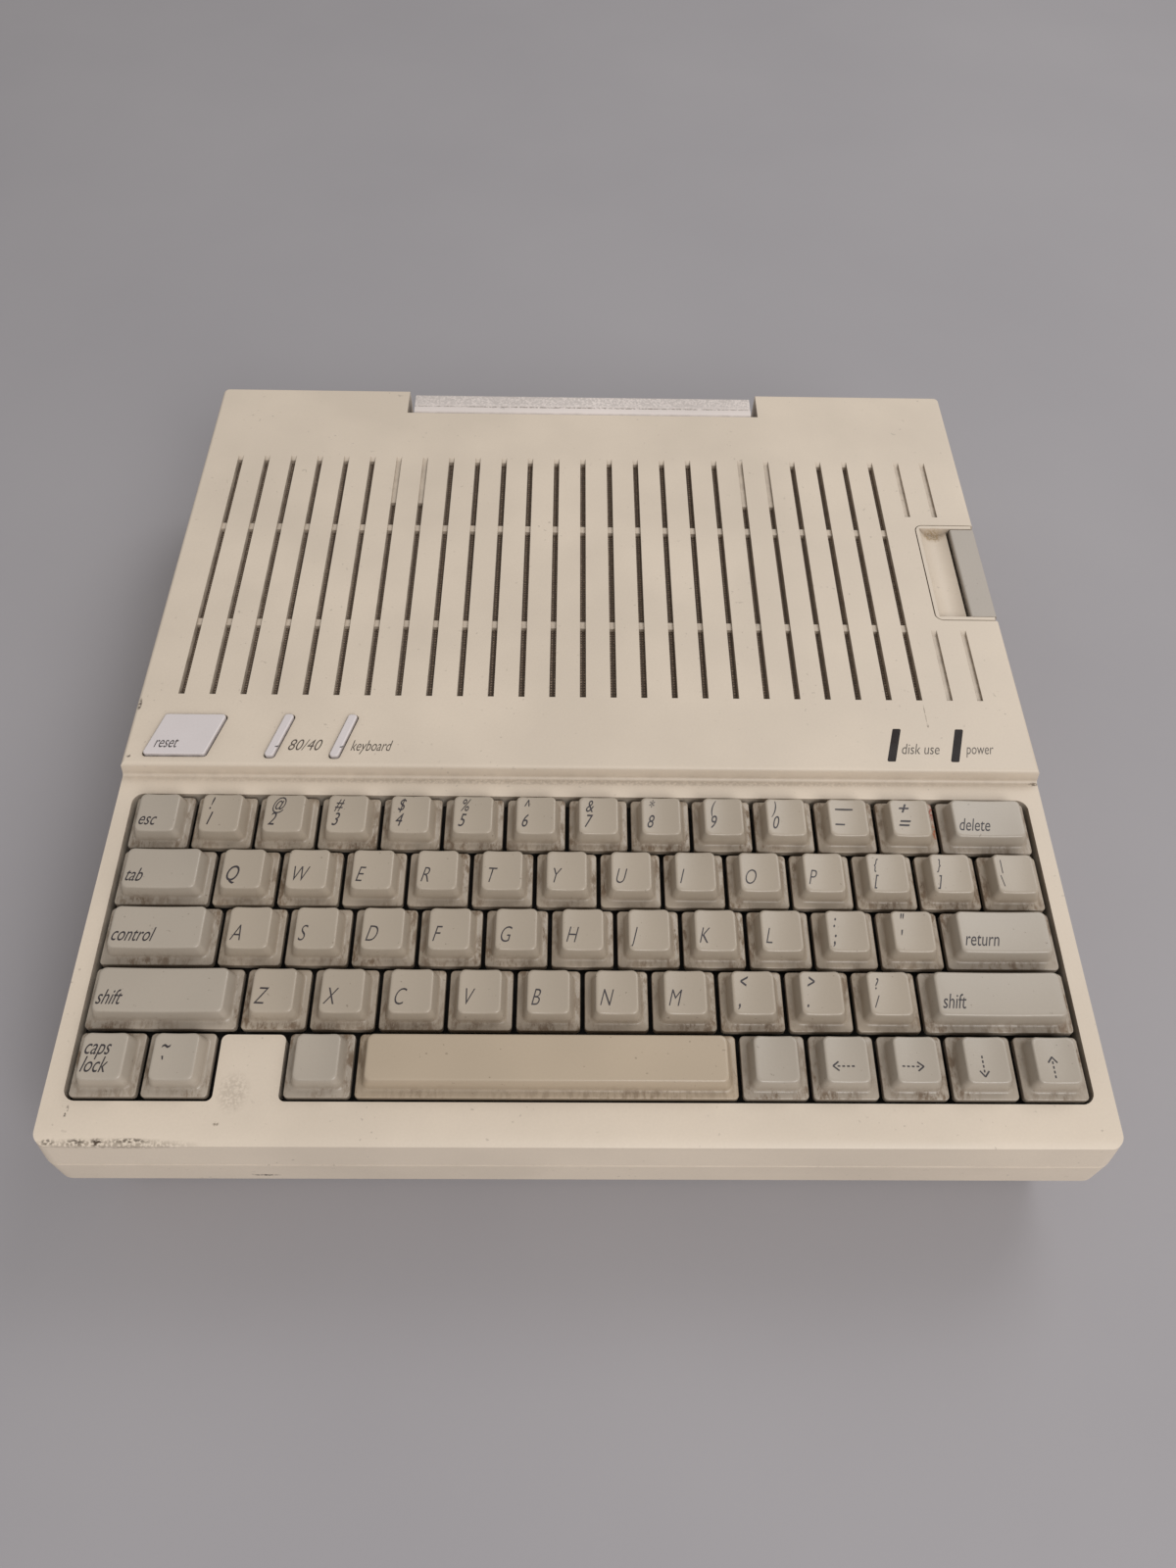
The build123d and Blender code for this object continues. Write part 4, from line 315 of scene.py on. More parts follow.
# Painted shade on the handle: a darker band over its rear facet, which the light leaves duller
# than the bright front strip, and a dark painted shadow line in the groove between them.
HANDLE_PAINTED_SHADE = [
    ((0.0, 144.6, 62.0), (900.0, 5.2, 20.0), (0.42, 0.375, 0.35), 0.6),
    ((0.0, 140.2, 63.5), (110.0, 0.5, 3.0), DIRT_AND_SHADE, 0.7),
]
looks = {
    "case": plastic("case plastic", (0.66, 0.56, 0.455), 0.5, shade_and_grime=0.6, stain_and_shade_marks=CASE_STAINS),
    "handle": plastic(
        "handle plastic", (0.74, 0.66, 0.62), 0.42, grain=0.6, stain_and_shade_marks=HANDLE_PAINTED_SHADE
    ),
    "lever": plastic("lever plastic", (0.425, 0.375, 0.325), 0.5, grain=1.6),
    "white_button": plastic("button plastic", (0.65, 0.59, 0.585), 0.4, grain=0.5),
}
print("plastics:", sorted(looks))

# %% [markdown]
# ## Keycap plastic
# The keys are a shinier plastic. Fingers keep the tops clean, while skin, dust and
# crumbs stay brown on the ledges between the keys and on the feet of the pedestals. The
# height over the keyboard's sloping plane tells the ledge from the top: it is the dot
# product of the place with the plane's normal.

# %% Keycap finish
KEY_TILT = radians(2.67)
KEY_NORMAL = Vector((0.0, -sin(KEY_TILT), cos(KEY_TILT)))
KEY_ORIGIN = Vector((-138.1125, -139.2, 52.51315)) * MM
KEY_STAINS = [
    ((108.4, -48.0, 57.4), (1.0, 4.0, 2.2), (0.22, 0.035, 0.008), 1.0),
    ((108.3, -55.0, 57.0), (0.9, 3.5, 2.0), (0.30, 0.075, 0.015), 0.9),
]


def keycap_finish(name, colour, dirt_share):
    """Keycap plastic with brown dirt low down, and specks on the worn tops."""
    made, shader = blank(name, 0.31)
    place = node(made, "ShaderNodeTexCoord").outputs["Object"]
    sockets = {0: place, 1: KEY_NORMAL}
    rise = node(made, "ShaderNodeVectorMath", sockets, operation="DOT_PRODUCT").outputs["Value"]
    base = KEY_NORMAL.dot(KEY_ORIGIN)
    low = spread(made, rise, base + 0.0048, base + 0.0006)
    cloud = spread(made, noise(made, 26, 2.0), 0.35, 0.65)
    tone = mix(made, cloud, shade_of(colour, 0.96), shade_of(colour, 1.04))
    grain_noise = noise(made, 1900, 2.0)
    tone = mix(made, spread(made, grain_noise, 0.3, 0.7, 0.0, 0.08), tone, shade_of(colour, 0.7))
    tone = mix(made, times(made, low, 0.16), tone, (0.30, 0.21, 0.13))
    streaks = spread(made, noise(made, 560, 4.0, (1.0, 0.4, 1.0), 0.7), 0.45, 0.60)
    patchy = spread(made, noise(made, 70, 2.0), 0.36, 0.62)
    film = times(made, times(made, streaks, patchy), times(made, low, dirt_share))
    facing = node(made, "ShaderNodeNewGeometry").outputs["Normal"]
    sockets = {0: facing, 1: KEY_NORMAL}
    level = node(made, "ShaderNodeVectorMath", sockets, operation="DOT_PRODUCT").outputs["Value"]
    film = times(made, film, spread(made, level, 0.3, 0.95, 0.3, 1.0))
    tone = mix(made, film, tone, (0.13, 0.075, 0.035))
    # Painted shade: near black where other surfaces close in, so the gaps between the caps render
    # dark.
    corner = times(made, crevices(made, 0.003), 0.65)
    tone = mix(made, corner, tone, (0.06, 0.04, 0.025))
    specks = spread(made, noise(made, 900, 1.0), 0.75, 0.775, 0.0, 0.4)
    tone = mix(made, specks, tone, (0.09, 0.06, 0.04))
    tone = add_stain_and_shade(made, tone, KEY_STAINS)
    connect(made, tone, shader, "Base Color")
    connect(made, spread(made, film, 0.0, 0.5, 0.31, 0.6), shader, "Roughness")
    bump(made, shader, grain_noise, 0.00003, 0.4)
    return made


looks["key_light"] = keycap_finish("letter key plastic", (0.40, 0.335, 0.265), 0.85)
looks["key_dark"] = keycap_finish("function key plastic", (0.40, 0.345, 0.285), 0.85)
looks["key_space"] = keycap_finish("space bar plastic", (0.45, 0.36, 0.265), 0.6)
print("keycap finishes:", [name for name in looks if name.startswith("key")])

# %% [markdown]
# ## Woven dust mesh, rubber and dark plastics
# Behind the vents lies a dark woven mesh, browned by dust. Two wave patterns at right
# angles make its threads. Rubber and the black parts inside are dark with a dusty film.

# %% Dark finishes
WAVE_RATE = 20  # radians that the wave texture turns through in each unit


def waves(made, direction, pitch):
    """Even bands along one direction, one to each pitch in metres."""
    place = node(made, "ShaderNodeTexCoord").outputs["Object"]
    scale = 2 * pi / (WAVE_RATE * pitch)
    sockets = {"Vector": place, "Scale": scale}
    return node(
        made, "ShaderNodeTexWave", sockets, bands_direction=direction, wave_profile="SIN"
    ).outputs["Fac"]


def woven(name, colour, pitch):
    """Threads over and under, with dust on their crowns."""
    made, shader = blank(name, 0.7)
    threads = times(made, waves(made, "X", pitch), waves(made, "Y", pitch))
    dust = times(made, spread(made, noise(made, 900, 3.0), 0.45, 0.7), 0.6)
    tone = mix(made, spread(made, threads, 0.1, 0.7), shade_of(colour, 0.35), colour)
    tone = mix(made, times(made, dust, threads), tone, (0.66, 0.52, 0.39))
    connect(made, tone, shader, "Base Color")
    bump(made, shader, threads, 0.0002)
    return made


def dusty(name, colour, rough, film=(0.16, 0.14, 0.12), share=0.25):
    """Plain dark moulding or rubber under a thin film of dust."""
    made, shader = blank(name, rough)
    cloud = noise(made, 90, 5.0, rough=0.65)
    tone = mix(made, spread(made, cloud, 0.4, 0.75, 0.0, share), colour, film)
    connect(made, tone, shader, "Base Color")
    connect(made, spread(made, cloud, 0.3, 0.7, rough - 0.08, rough + 0.15), shader, "Roughness")
    bump(made, shader, noise(made, 1200, 2.0), 0.00005, 0.4)
    return made


looks["mesh"] = woven("woven dust mesh", (0.27, 0.195, 0.14), 0.0011)
looks["foot_rubber"] = dusty("foot rubber", (0.035, 0.033, 0.032), 0.75)
looks["switch_black"] = dusty("black moulding", (0.03, 0.03, 0.03), 0.45)
looks["chip"] = dusty("chip moulding", (0.028, 0.028, 0.03), 0.5, share=0.15)
looks["speaker_black"] = dusty("speaker paper", (0.04, 0.038, 0.036), 0.8)
looks["cone_plastic"] = dusty("clamp plastic", (0.55, 0.54, 0.50), 0.45, (0.4, 0.36, 0.3), 0.4)
looks["window"] = dusty("lamp window", (0.012, 0.007, 0.006), 0.3, (0.06, 0.045, 0.04), 0.12)
window_shader = looks["window"].node_tree.nodes["Principled BSDF"]
window_shader.inputs["Specular IOR Level"].default_value = 0.12
looks["lamp_red"] = dusty("red lamp", (0.42, 0.02, 0.015), 0.2, (0.3, 0.1, 0.08), 0.1)
looks["cable"] = dusty("flat cable", (0.33, 0.33, 0.35), 0.5, (0.2, 0.2, 0.2), 0.4)
print("dark finishes are ready")

# %% [markdown]
# ## Metals and boards
# Sheet steel shows fine lines from rolling, cast metal has a pebbled skin, and old
# plating dulls in clouds. The boards are green lacquer over copper lines, which a brick
# pattern draws as long thin tracks.

# %% Metal and board finishes
def metal(name, colour, rough, stretch=(1, 1, 1), scale=900, depth=0.00002, tarnish=0.35):
    """Plated or cast metal with brush lines or pebbles, and dull clouds."""
    made, shader = blank(name, rough, 1.0)
    lines = noise(made, scale, 3.0, stretch)
    cloud = spread(made, noise(made, 45, 4.0), 0.4, 0.7)
    tone = mix(made, spread(made, lines, 0.3, 0.7), shade_of(colour, 0.82), colour)
    tone = mix(made, times(made, cloud, tarnish), tone, (0.16, 0.12, 0.085))
    connect(made, tone, shader, "Base Color")
    connect(made, spread(made, cloud, 0.0, 1.0, rough, rough + 0.22), shader, "Roughness")
    bump(made, shader, lines, depth, 0.6)
    return made


def lacquered_board(name):
    """Green circuit board with copper tracks under the lacquer."""
    made, shader = blank(name, 0.32)
    place = node(made, "ShaderNodeTexCoord").outputs["Object"]
    sockets = {
        "Vector": place, "Scale": 1.0, "Mortar Size": 0.00022, "Mortar Smooth": 0.2,
        "Brick Width": 0.023, "Row Height": 0.0019,
    }
    tracks = node(made, "ShaderNodeTexBrick", sockets).outputs["Fac"]
    cloud = noise(made, 40, 3.0)
    tone = mix(made, spread(made, cloud, 0.3, 0.7), (0.010, 0.085, 0.035), (0.018, 0.125, 0.05))
    tone = mix(made, times(made, tracks, 0.75), tone, (0.09, 0.26, 0.09))
    dust = spread(made, noise(made, 300, 5.0), 0.55, 0.8, 0.0, 0.3)
    tone = mix(made, dust, tone, (0.2, 0.18, 0.14))
    connect(made, tone, shader, "Base Color")
    bump(made, shader, tracks, 0.00004, 0.7)
    return made


looks["plate"] = metal("plated sheet", (0.50, 0.49, 0.46), 0.38, (1, 0.03, 1))
looks["spring_steel"] = metal("spring wire", (0.60, 0.59, 0.57), 0.25, tarnish=0.15)
looks["cast"] = metal("cast metal", (0.52, 0.52, 0.51), 0.5, scale=1600, depth=0.00008)
looks["steel"] = metal("ground steel", (0.62, 0.61, 0.60), 0.22, (1, 0.05, 1), tarnish=0.1)
looks["motor_can"] = metal("plated can", (0.48, 0.47, 0.45), 0.35, (0.05, 1, 1))
looks["port"] = metal("plated shell", (0.46, 0.45, 0.43), 0.36, tarnish=0.25)
looks["brass_jack"] = metal("brass", (0.62, 0.46, 0.20), 0.3, tarnish=0.4)
looks["screw_steel"] = metal("screw steel", (0.42, 0.41, 0.39), 0.35, tarnish=0.3)
looks["board"] = lacquered_board("circuit board")
print("finishes in all:", len(looks))

# %% [markdown]
# ## Dress the frame
# The record names a finish for each part, so every part of the frame takes its material
# by that name and keeps its shape. The keyboard's plate is made near black as painted
# shade, so that the gaps between the keys render dark. The floor gets a soft grey with faint
# clouds.

# %% Dress the frame
slot_of = {row["node"]: row["material_slot"] for row in frame["record"]["subparts"]}
for name, part in nodes.items():
    dress(part, looks[slot_of[name]])
# Painted shade: the plate is made near black so that the gaps between the keys render dark.
plate_painted_shade = dusty("black painted plate", (0.018, 0.015, 0.012), 0.6, (0.06, 0.045, 0.03), 0.2)
dress(nodes["keyboard_plate"], plate_painted_shade)
floor_look, floor_shader = blank("grey floor", 0.75)
floor_tone = spread(floor_look, noise(floor_look, 5, 4.0), 0.3, 0.7)
connect(
    floor_look,
    mix(floor_look, floor_tone, (0.335, 0.318, 0.335), (0.36, 0.342, 0.357)),
    floor_shader,
    "Base Color",
)
dress(floor, floor_look)
print("parts dressed:", len(nodes))

# %% [markdown]
# ## Keycaps
# A keycap is a low skirt with a flat ledge, and a pedestal that rises from it to a top
# that fingers find by its shallow dish. One could round a block, but a moulded cap is
# drawn from a mould as a stack of outlines, so it is modelled in that way: one rounded
# outline is extruded upwards step by step and narrowed as it goes. The list holds each
# step's height, and how far the sides, front and rear have come in by then. A second
# list draws the hollow below in the same way, from the rim up to the cap's ceiling.

# %% Sizes of the keycaps
KEY_PITCH = 19.05 * MM
KEY_GAP = 1.25 * MM
SKIRT_DEPTH = KEY_PITCH - KEY_GAP
KEY_TOP = 6.15 * MM
DISH = 0.5 * MM
TOP_INSET = (3.15, 3.2, 1.95)
SKIRT_FOOT = -1.3
SKIRT_RADIUS, TOP_RADIUS = 1.2 * MM, 1.75 * MM
KEY_PLANE = Matrix.Translation(KEY_ORIGIN) @ Matrix.Rotation(KEY_TILT, 4, "X")
OUTER_STEPS = [
    (0.40, 0.0, 0.0, 0.0),
    (0.57, 0.05, 0.05, 0.05),
    (0.67, 0.17, 0.17, 0.17),
    (0.72, 0.38, 0.38, 0.38),
    (0.88, 1.15, 1.50, 0.85),
    (1.00, 1.52, 1.95, 1.15),
    (1.25, 1.76, 2.22, 1.38),
    (1.70, 1.95, 2.40, 1.45),
    (5.45, 2.87, 2.92, 1.70),
    (5.80, 2.97, 3.02, 1.78),
    (6.02, 3.15, 3.20, 1.95),
    (6.13, 3.43, 3.48, 2.20),
    (6.15, 3.80, 3.85, 2.55),
]
PEDESTAL_STEPS = OUTER_STEPS[4:]
DISH_FLOOR = 5.2 * MM  # only what stands higher than this is dished
DISH_CUTS = (-0.75, -0.5, -0.25, 0, 0.25, 0.5, 0.75)
INNER_STEPS = [
    (-1.30, 1.05, 1.05, 1.05),
    (-0.40, 1.05, 1.05, 1.05),
    (-0.35, 3.05, 3.5, 2.7),
    (4.85, 4.45, 4.5, 3.25),
]
STEM_SIZE = (4.5 * MM, 3.5 * MM, 12.75 * MM)
STEM_MIDDLE = -1.625 * MM


# %% Model a keycap
def narrow(width, before, after):
    """Brings the selected outline from one step's place to the next one's."""
    z, side, front, rear = (value * MM for value in after)
    old_z, old_side, old_front, old_rear = (value * MM for value in before)
    bpy.ops.transform.translate(value=(0, (front - rear - old_front + old_rear) / 2, z - old_z))
    middle = (0, (front - rear) / 2, z)
    across = (width - 2 * side) / (width - 2 * old_side)
    along = (SKIRT_DEPTH - front - rear) / (SKIRT_DEPTH - old_front - old_rear)
    bpy.ops.transform.resize(value=(across, along, 1), center_override=middle)


def round_pedestal(cap, width):
    """Gives the corners of the pedestal a larger radius than the skirt's."""
    for z, side, front, rear in PEDESTAL_STEPS:
        middle = (front - rear) / 2 * MM
        full = (width / 2, SKIRT_DEPTH / 2)
        half = (full[0] - side * MM, full[1] - (front + rear) / 2 * MM)
        for corner in cap.data.vertices:
            if abs(corner.co.z - z * MM) > 1e-6:
                continue
            moved = []
            for axis, place in enumerate((corner.co.x, corner.co.y - middle)):
                arc = SKIRT_RADIUS * half[axis] / full[axis]
                share = (abs(place) - half[axis] + arc) / arc
                moved.append(copysign(half[axis] - TOP_RADIUS * (1 - share), place))
            corner.co.x, corner.co.y = moved[0], moved[1] + middle


def open_below(cap):
    """Deletes the cap's bottom face and leaves its rim selected."""
    bpy.ops.mesh.select_mode(type="FACE")
    bpy.ops.mesh.select_all(action="DESELECT")
    bpy.ops.object.mode_set(mode="OBJECT")
    for face in cap.data.polygons:
        face.select = face.center.z < (SKIRT_FOOT + 0.01) * MM
    bpy.ops.object.mode_set(mode="EDIT")
    bpy.ops.mesh.delete(type="ONLY_FACE")
    bpy.ops.mesh.select_mode(type="VERT")
    bpy.ops.mesh.select_all(action="DESELECT")
    bpy.ops.mesh.select_non_manifold()


def keycap(units, dished=True):
    """One hollow keycap about its own middle, with its top face dished from side to side."""
    width = units * KEY_PITCH - KEY_GAP
    deselect()
    bpy.ops.mesh.primitive_plane_add(size=1)
    cap = bpy.context.object
    bpy.ops.object.mode_set(mode="EDIT")
    bpy.ops.transform.resize(value=(width, SKIRT_DEPTH, 1))
    bpy.ops.transform.translate(value=(0, 0, SKIRT_FOOT * MM))
    bpy.ops.mesh.bevel(offset=SKIRT_RADIUS, segments=6, affect="VERTICES")
    before = (SKIRT_FOOT, 0, 0, 0)
    for step in OUTER_STEPS:
        bpy.ops.mesh.extrude_region_move()
        narrow(width, before, step)
        before = step
    open_below(cap)
    before = (SKIRT_FOOT, 0, 0, 0)
    for step in INNER_STEPS:
        bpy.ops.mesh.extrude_edges_move()
        narrow(width, before, step)
        before = step
    bpy.ops.mesh.edge_face_add()
    bpy.ops.object.mode_set(mode="OBJECT")
    round_pedestal(cap, width)
    bpy.ops.object.mode_set(mode="EDIT")
    half_top = width / 2 - TOP_INSET[0] * MM
    if dished:
        for share in DISH_CUTS:
            bpy.ops.mesh.select_all(action="SELECT")
            bpy.ops.mesh.bisect(plane_co=(share * half_top, 0, 0), plane_no=(1, 0, 0))
    bpy.ops.mesh.select_all(action="SELECT")
    bpy.ops.mesh.normals_make_consistent(inside=False)
    bpy.ops.object.mode_set(mode="OBJECT")
    if dished:
        for corner in cap.data.vertices:
            if corner.co.z > DISH_FLOOR:
                edge_share = min(abs(corner.co.x) / half_top, 1.0)
                corner.co.z -= DISH * (1 - edge_share**2)
    deselect()
    stem = stem_of_key()
    cap.select_set(True)
    stem.select_set(True)
    bpy.context.view_layer.objects.active = cap
    bpy.ops.object.join()
    bpy.ops.object.shade_smooth_by_angle(angle=radians(38))
    return cap


def stem_of_key():
    """The square plunger under a cap, which goes down into its switch."""
    bpy.ops.mesh.primitive_cube_add(size=1)
    stem = bpy.context.object
    bpy.ops.object.mode_set(mode="EDIT")
    bpy.ops.transform.resize(value=STEM_SIZE)
    bpy.ops.transform.translate(value=(0, 0, STEM_MIDDLE))
    bpy.ops.mesh.bevel(offset=0.2 * MM, segments=1)
    bpy.ops.object.mode_set(mode="OBJECT")
    return stem


moulds = {units: keycap(units) for units in (1.0, 1.5, 1.75, 2.25)}
moulds[5.5] = keycap(5.5, dished=False)
for units, mould in moulds.items():
    print("keycap", units, "units wide:", len(mould.data.polygons), "faces")

# %% [markdown]
# ## The key field
# Each key that moves by itself becomes a piece of its own, and each row of plain keys is
# one piece, as in the frame. A copy of the right mould is set down in the middle of its
# cell, on a level plane for now.

# %% Lay out the keys
# Name, first column, row from the front, width in key units.
SINGLE_KEYS = [
    ("caps_lock_key", 0.0, 0, 1.0), ("grave_key", 1.0, 0, 1.0),
    ("option_left_key", 3.0, 0, 1.0), ("space_bar", 4.0, 0, 5.5),
    ("option_right_key", 9.5, 0, 1.0), ("arrow_left_key", 10.5, 0, 1.0),
    ("arrow_right_key", 11.5, 0, 1.0), ("arrow_down_key", 12.5, 0, 1.0),
    ("arrow_up_key", 13.5, 0, 1.0), ("shift_left_key", 0.0, 1, 2.25),
    ("shift_right_key", 12.25, 1, 2.25), ("control_key", 0.0, 2, 1.75),
    ("return_key", 12.75, 2, 1.75), ("tab_key", 0.0, 3, 1.5),
    ("escape_key", 0.0, 4, 1.0), ("delete_key", 13.0, 4, 1.5),
]
# Name, first column, row from the front, count.
KEY_ROWS = [
    ("bottom_letter_keys", 2.25, 1, 10), ("home_letter_keys", 1.75, 2, 11),
    ("top_letter_keys", 1.5, 3, 13), ("number_keys", 1.0, 4, 12),
]
key_cells = {name: [(column, row, units)] for name, column, row, units in SINGLE_KEYS}
for name, column, row, count in KEY_ROWS:
    key_cells[name] = [(column + step, row, 1.0) for step in range(count)]


def copy_of(piece):
    """A second object with its own mesh."""
    twin = piece.copy()
    twin.data = piece.data.copy()
    bpy.context.scene.collection.objects.link(twin)
    return twin


def joined(parts, name):
    """Makes several objects one, named and in place."""
    deselect()
    for part in parts:
        part.select_set(True)
    bpy.context.view_layer.objects.active = parts[0]
    bpy.ops.object.join()
    whole = bpy.context.object
    whole.name = name
    return whole


def settle(piece):
    """Moves an object's place, turn and size into its mesh."""
    deselect()
    piece.select_set(True)
    bpy.context.view_layer.objects.active = piece
    bpy.ops.object.transform_apply(location=True, rotation=True, scale=True)


def cell_middle(cell):
    """Middle of a key's cell on the keyboard's plane."""
    column, row, units = cell
    return Vector(((column + units / 2) * KEY_PITCH, (row + 0.5) * KEY_PITCH, 0))


def short_name(name):
    """A node's name without the word key, for the pieces that belong to it."""
    return name.replace("_keys", "").replace("_key", "")


def set_down(cells, patterns, name):
    """Copies of the pattern for each cell's width, in their cells and made one object."""
    copies = []
    for cell in cells:
        twin = copy_of(patterns[cell[2]])
        twin.location = cell_middle(cell)
        copies.append(twin)
    whole = joined(copies, name)
    settle(whole)
    return whole


def lay_on_slope(piece):
    """Turns a piece from the level plane to the keyboard's sloping one."""
    piece.matrix_world = KEY_PLANE
    settle(piece)


cap_pieces = {}
for name, cells in key_cells.items():
    cap_pieces[name] = set_down(cells, moulds, short_name(name) + "_caps")
bpy.data.batch_remove(list(moulds.values()))
print("key pieces:", len(cap_pieces))

# %% [markdown]
# ## Legends
# The legends are pad printed in a thin slanted face, low on the left of each top, with
# the shifted character above the plain one. Text is set flat over the cap, made a mesh,
# and dropped on the dished top by a Shrinkwrap modifier, as a transfer follows a curve.

# %% Set the type
SLANT = 0.39
NARROW = 0.62
LETTER, DIGIT, WORD = 7.3 * MM, 6.5 * MM, 6.3 * MM
# From the left and the front edge of a cap's top, in mm.
LETTER_PLACE, PLAIN_PLACE, SHIFTED_PLACE = (0.6, 2.2), (1.1, 2.1), (1.6, 7.5)
WORD_LEFT, WORD_LEFT_AT_RIGHT, WORD_FRONT, LINE_STEP = 0.3, 0.8, 1.9, 4.9
MIDDLE_COLUMN = 10


def lettering(words, size, place, narrow_by=NARROW, thin=0.012):
    """Flat slanted lettering whose baseline starts at a place."""
    deselect()
    bpy.ops.object.text_add()
    text = bpy.context.object
    text.data.body = words
    text.data.shear = 0 if words in "\\|" else SLANT
    # The tail of a Q gets a spike from any offset.
    text.data.offset = 0 if "Q" in words else -thin
    text.data.resolution_u = 4
    bpy.ops.object.convert(target="MESH")
    text = bpy.context.object
    text.scale = (size * narrow_by, size, size)
    text.location = place
    settle(text)
    return text


ROW_LEGENDS = {
    "number_keys": list(zip("1234567890–=", "!@#$%^&*()—+")),
    "top_letter_keys": [(letter, "") for letter in "QWERTYUIOP"] + [
        ("[", "{"), ("]", "}"), ("\\", "|")
    ],
    "home_letter_keys": [(letter, "") for letter in "ASDFGHJKL"] + [(";", ":"), ("'", '"')],
    "bottom_letter_keys": [(letter, "") for letter in "ZXCVBNM"] + [
        (",", "<"), (".", ">"), ("/", "?")
    ],
    "grave_key": [("`", "~")],
}
KEY_WORDS = {
    "escape_key": "esc", "delete_key": "delete", "tab_key": "tab", "control_key": "control",
    "return_key": "return", "shift_left_key": "shift", "shift_right_key": "shift",
    "caps_lock_key": "caps\nlock",
}


def type_place(cell, from_left, from_front):
    """Place over a cap's top, measured from the top's left and front edges in mm."""
    column, row, units = cell
    x = column * KEY_PITCH + KEY_GAP / 2 + (TOP_INSET[0] + from_left) * MM
    y = row * KEY_PITCH + KEY_GAP / 2 + (TOP_INSET[1] + from_front) * MM
    return Vector((x, y, KEY_TOP + 2 * MM))


def row_legends(name):
    """Printed characters of a row of plain keys."""
    marks = []
    for cell, (plain, shifted) in zip(key_cells[name], ROW_LEGENDS[name]):
        if plain.isalpha():
            marks.append(lettering(plain, LETTER, type_place(cell, *LETTER_PLACE)))
        else:
            broad = {"=": 1.0, "–": 0.85}.get(plain, NARROW)
            thin = 0.0 if plain.isdigit() else -0.008
            size = DIGIT * (0.78 if plain in "[]\\/" else 1.0)
            place = type_place(cell, *PLAIN_PLACE)
            marks.append(lettering(plain, size, place, broad, thin))
            place = type_place(cell, *SHIFTED_PLACE)
            marks.append(lettering(shifted, size * 0.95, place, broad, thin))
    return marks


legend_parts = {name: row_legends(name) for name in ROW_LEGENDS}
for name, words in KEY_WORDS.items():
    cell = key_cells[name][0]
    from_left = WORD_LEFT_AT_RIGHT if cell[0] > MIDDLE_COLUMN else WORD_LEFT
    legend_parts[name] = []
    for line, word in enumerate(reversed(words.split("\n"))):
        place = type_place(cell, from_left, WORD_FRONT + LINE_STEP * line)
        legend_parts[name].append(lettering(word, WORD, place, thin=0.0))
print("keys with legends:", len(legend_parts))

# %% [markdown]
# The four arrows have a thin head of two bars and a dotted tail. One arrow is modelled
# from flat bars, then turned for each key.

# %% Arrows
STROKE = 0.42 * MM
DOT, DOT_PLACES = 0.75 * MM, (-1.2, 0.1, 1.4, 2.7)
HEAD_BAR, HEAD_SLOPE = 2.1 * MM, 38
HEAD_PLACE = (-2.0 * MM, 0.62 * MM)
ARROW_PLACE = (4.6, 4.4)


def bar(length, breadth, place, turn):
    """A flat bar about a place, turned in its plane by an angle in degrees."""
    deselect()
    bpy.ops.mesh.primitive_plane_add(size=1)
    strip = bpy.context.object
    strip.scale = (length, breadth, 1)
    strip.rotation_euler = (0, 0, radians(turn))
    strip.location = place
    settle(strip)
    return strip


def arrow():
    """An arrow that points to the left: dotted tail, and a head of two bars."""
    dots = [bar(DOT, STROKE, (x * MM, 0, 0), 0) for x in DOT_PLACES]
    head = [
        bar(HEAD_BAR, STROKE, (HEAD_PLACE[0], side * HEAD_PLACE[1], 0), side * HEAD_SLOPE)
        for side in (-1, 1)
    ]
    return joined(dots + head, "arrow")


pattern = arrow()
for name, turn in [
    ("arrow_left_key", 0), ("arrow_up_key", -90), ("arrow_right_key", 180), ("arrow_down_key", 90)
]:
    mark = copy_of(pattern)
    mark.rotation_euler = (0, 0, radians(turn))
    mark.location = type_place(key_cells[name][0], *ARROW_PLACE)
    settle(mark)
    legend_parts[name] = [mark]
bpy.data.objects.remove(pattern)
print("keys with a mark:", len(legend_parts))

# %% [markdown]
# The ink isn't quite black, and age has broken it in places. Each part's marks are joined
# to one piece and dropped on its caps, with a gap too thin to see, so that ink and plastic
# don't share one surface.

# %% Print the legends on the caps
INK_GAP = 0.03 * MM


def printed_ink(name, colour):
    """Slightly worn ink: not quite black, and broken here and there."""
    made, shader = blank(name, 0.45)
    worn = spread(made, noise(made, 1600, 3.0), 0.5, 0.75, 0.0, 0.3)
    connect(made, mix(made, worn, colour, shade_of(colour, 3.0)), shader, "Base Color")
    return made


key_ink = printed_ink("key ink", (0.030, 0.024, 0.027))


def drop_on(marks, target, gap):
    """Projects flat marks straight down on a surface, to lie just over it."""
    wrap = marks.modifiers.new("drop", "SHRINKWRAP")
    wrap.target = target
    wrap.wrap_method = "PROJECT"
    wrap.use_project_z = True
    wrap.use_negative_direction = True
    wrap.use_positive_direction = False
    wrap.offset = gap
    bpy.context.view_layer.objects.active = marks
    bpy.ops.object.modifier_apply(modifier=wrap.name)


legend_pieces = {}
for name, parts in legend_parts.items():
    marks = joined(parts, short_name(name) + "_legends")
    drop_on(marks, cap_pieces[name], INK_GAP)
    dress(marks, key_ink)
    legend_pieces[name] = marks
print("legend pieces:", len(legend_pieces))

# %% [markdown]
# Until now the keys stood on a level plane, which made them easy to lay out. The keyboard
# slopes down to the front, so caps and marks now turn to that plane together, stand for
# the frame's plain keys, and ride on the bodies that move them.

# %% Lay the keyboard on its slope
for name, caps in cap_pieces.items():
    lay_on_slope(caps)
    dress(caps, looks[slot_of[name]])
    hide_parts(name)
    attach(caps, name)
    if name in legend_pieces:
        lay_on_slope(legend_pieces[name])
        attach(legend_pieces[name], name)
print("keyboard laid at", round(KEY_TILT * 180 / pi, 2), "degrees")

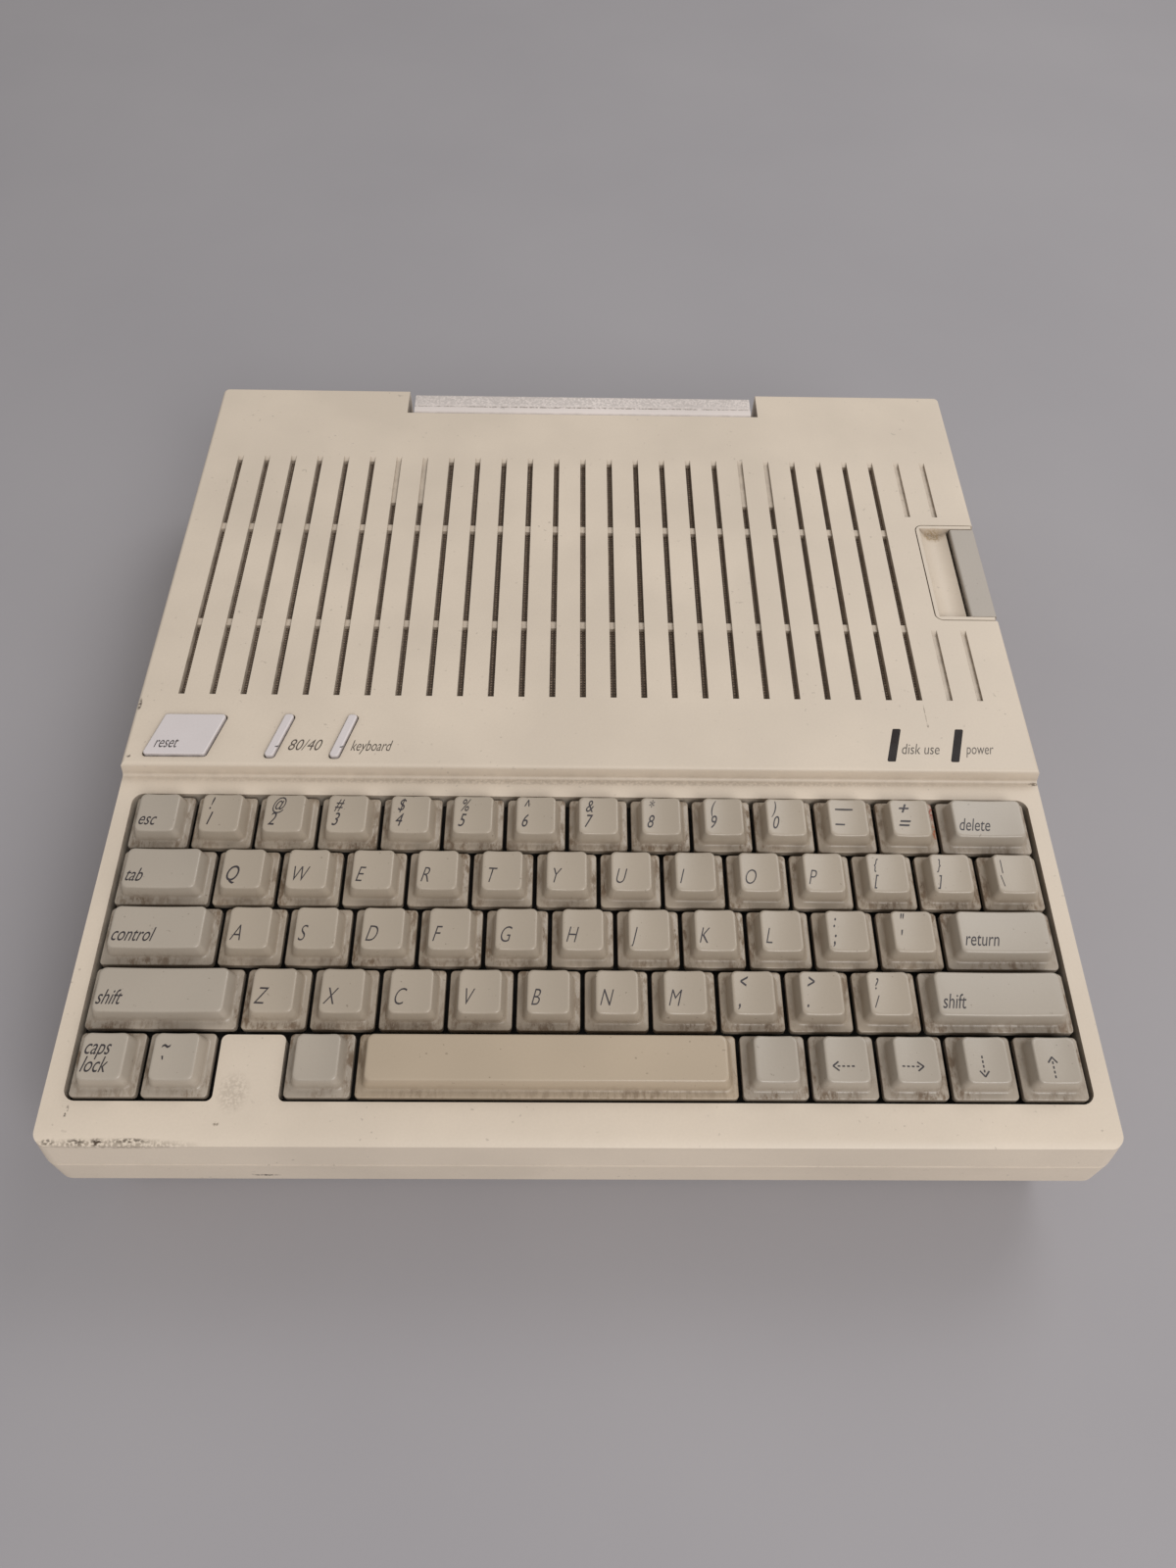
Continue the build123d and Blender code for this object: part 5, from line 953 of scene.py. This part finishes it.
# %% [markdown]
# ## Key springs
# Under each cap a hairpin spring lifts the key, and folds flat as the key goes down. The
# frame holds all of them as one stiff part, which would pierce the pressed caps. So one
# spring is extruded along its zigzag and copied, and the springs of each moving part are
# a piece of their own, carried by the case.

# %% Model and lay the springs
SPRING_FOOT, SPRING_TOP = -2.2 * MM, 4.85 * MM
SPRING_STRIP = (0.8 * MM, 2.0 * MM)
SPRING_START = (-3.6 * MM, 3.25 * MM)
SPRING_RUNS = (7.2 * MM, -6.8 * MM)


def hairpin():
    """One flat spring: a foot on the switch, a bend, and an arm up to the cap."""
    deselect()
    bpy.ops.mesh.primitive_plane_add(size=1)
    spring = bpy.context.object
    bpy.ops.object.mode_set(mode="EDIT")
    bpy.ops.transform.resize(value=(*SPRING_STRIP, 1))
    bpy.ops.transform.translate(value=(*SPRING_START, SPRING_FOOT))
    for shift in SPRING_RUNS:
        bpy.ops.mesh.extrude_region_move()
        bpy.ops.transform.translate(value=(shift, 0, (SPRING_TOP - SPRING_FOOT) / 2))
    bpy.ops.mesh.select_all(action="SELECT")
    bpy.ops.mesh.normals_make_consistent(inside=False)
    bpy.ops.object.mode_set(mode="OBJECT")
    return spring


pattern = hairpin()
same_for_all = {units: pattern for name, column, row, units in SINGLE_KEYS}
for name, cells in key_cells.items():
    springs = set_down(cells, same_for_all, short_name(name) + "_springs")
    lay_on_slope(springs)
    dress(springs, looks["spring_steel"])
    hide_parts("key_springs")
    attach(springs, "case")
    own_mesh(springs)
bpy.data.objects.remove(pattern)

# %% [markdown]
# ## Lettering on the case
# Plain words beside the buttons and lamps say what they are for. They are printed in the
# same slanted face as the keys, in thinner and greyer ink. Each word is stretched to the
# room it fills, and lies flat just over its surface.

# %% Letter the case
LIFT = 0.04  # mm from a surface to the flat ink over it
TICK_SIZE, TICK_SLOPE = (1.1 * MM, 0.35 * MM), 12
TICK_FROM_FRONT, TICK_LIFT = 3.5 * MM, 0.02 * MM


def label(words, left, right, baseline, level, height):
    """Flat lettering between two places across, at a baseline and a height in mm."""
    text = lettering(words, 1.0, (0, 0, 0), 1.0, 0.006)
    edges = [corner.co.x for corner in text.data.vertices]
    stretch = (right - left) * MM / (max(edges) - min(edges))
    text.scale = (stretch, height * MM, 1)
    text.location = (left * MM - min(edges) * stretch, baseline * MM, (level + LIFT) * MM)
    settle(text)
    return text


TOP_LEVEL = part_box("top_case")[1][2] / MM
BUTTON_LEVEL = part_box("reset_button")[1][2] / MM
case_words = joined(
    [
        label("80/40", -92.5, -82.0, -30.4, TOP_LEVEL, 6.2),
        label("keyboard", -72.9, -59.9, -30.4, TOP_LEVEL, 6.0),
        label("disk use", 101.0, 113.1, -29.9, TOP_LEVEL, 6.0),
        label("power", 121.2, 130.4, -29.7, TOP_LEVEL, 6.0),
    ],
    "case_lettering",
)
printed = [(case_words, "case", printed_ink("case ink", (0.075, 0.058, 0.045)))]
reset_word = label("reset", -134.0, -126.6, -30.5, BUTTON_LEVEL, 6.2)
reset_word.name = "reset_lettering"
printed.append((reset_word, "reset_button", key_ink))
for button in ("column_switch_button", "layout_switch_button"):
    low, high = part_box(button)
    place = ((low[0] + high[0]) / 2, low[1] + TICK_FROM_FRONT, high[2] + TICK_LIFT)
    tick = bar(*TICK_SIZE, place, TICK_SLOPE)
    tick.name = button.replace("button", "tick")
    printed.append((tick, button, key_ink))
for piece, body, ink in printed:
    dress(piece, ink)
    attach(piece, body)
print("lettered pieces on the case:", len(printed))
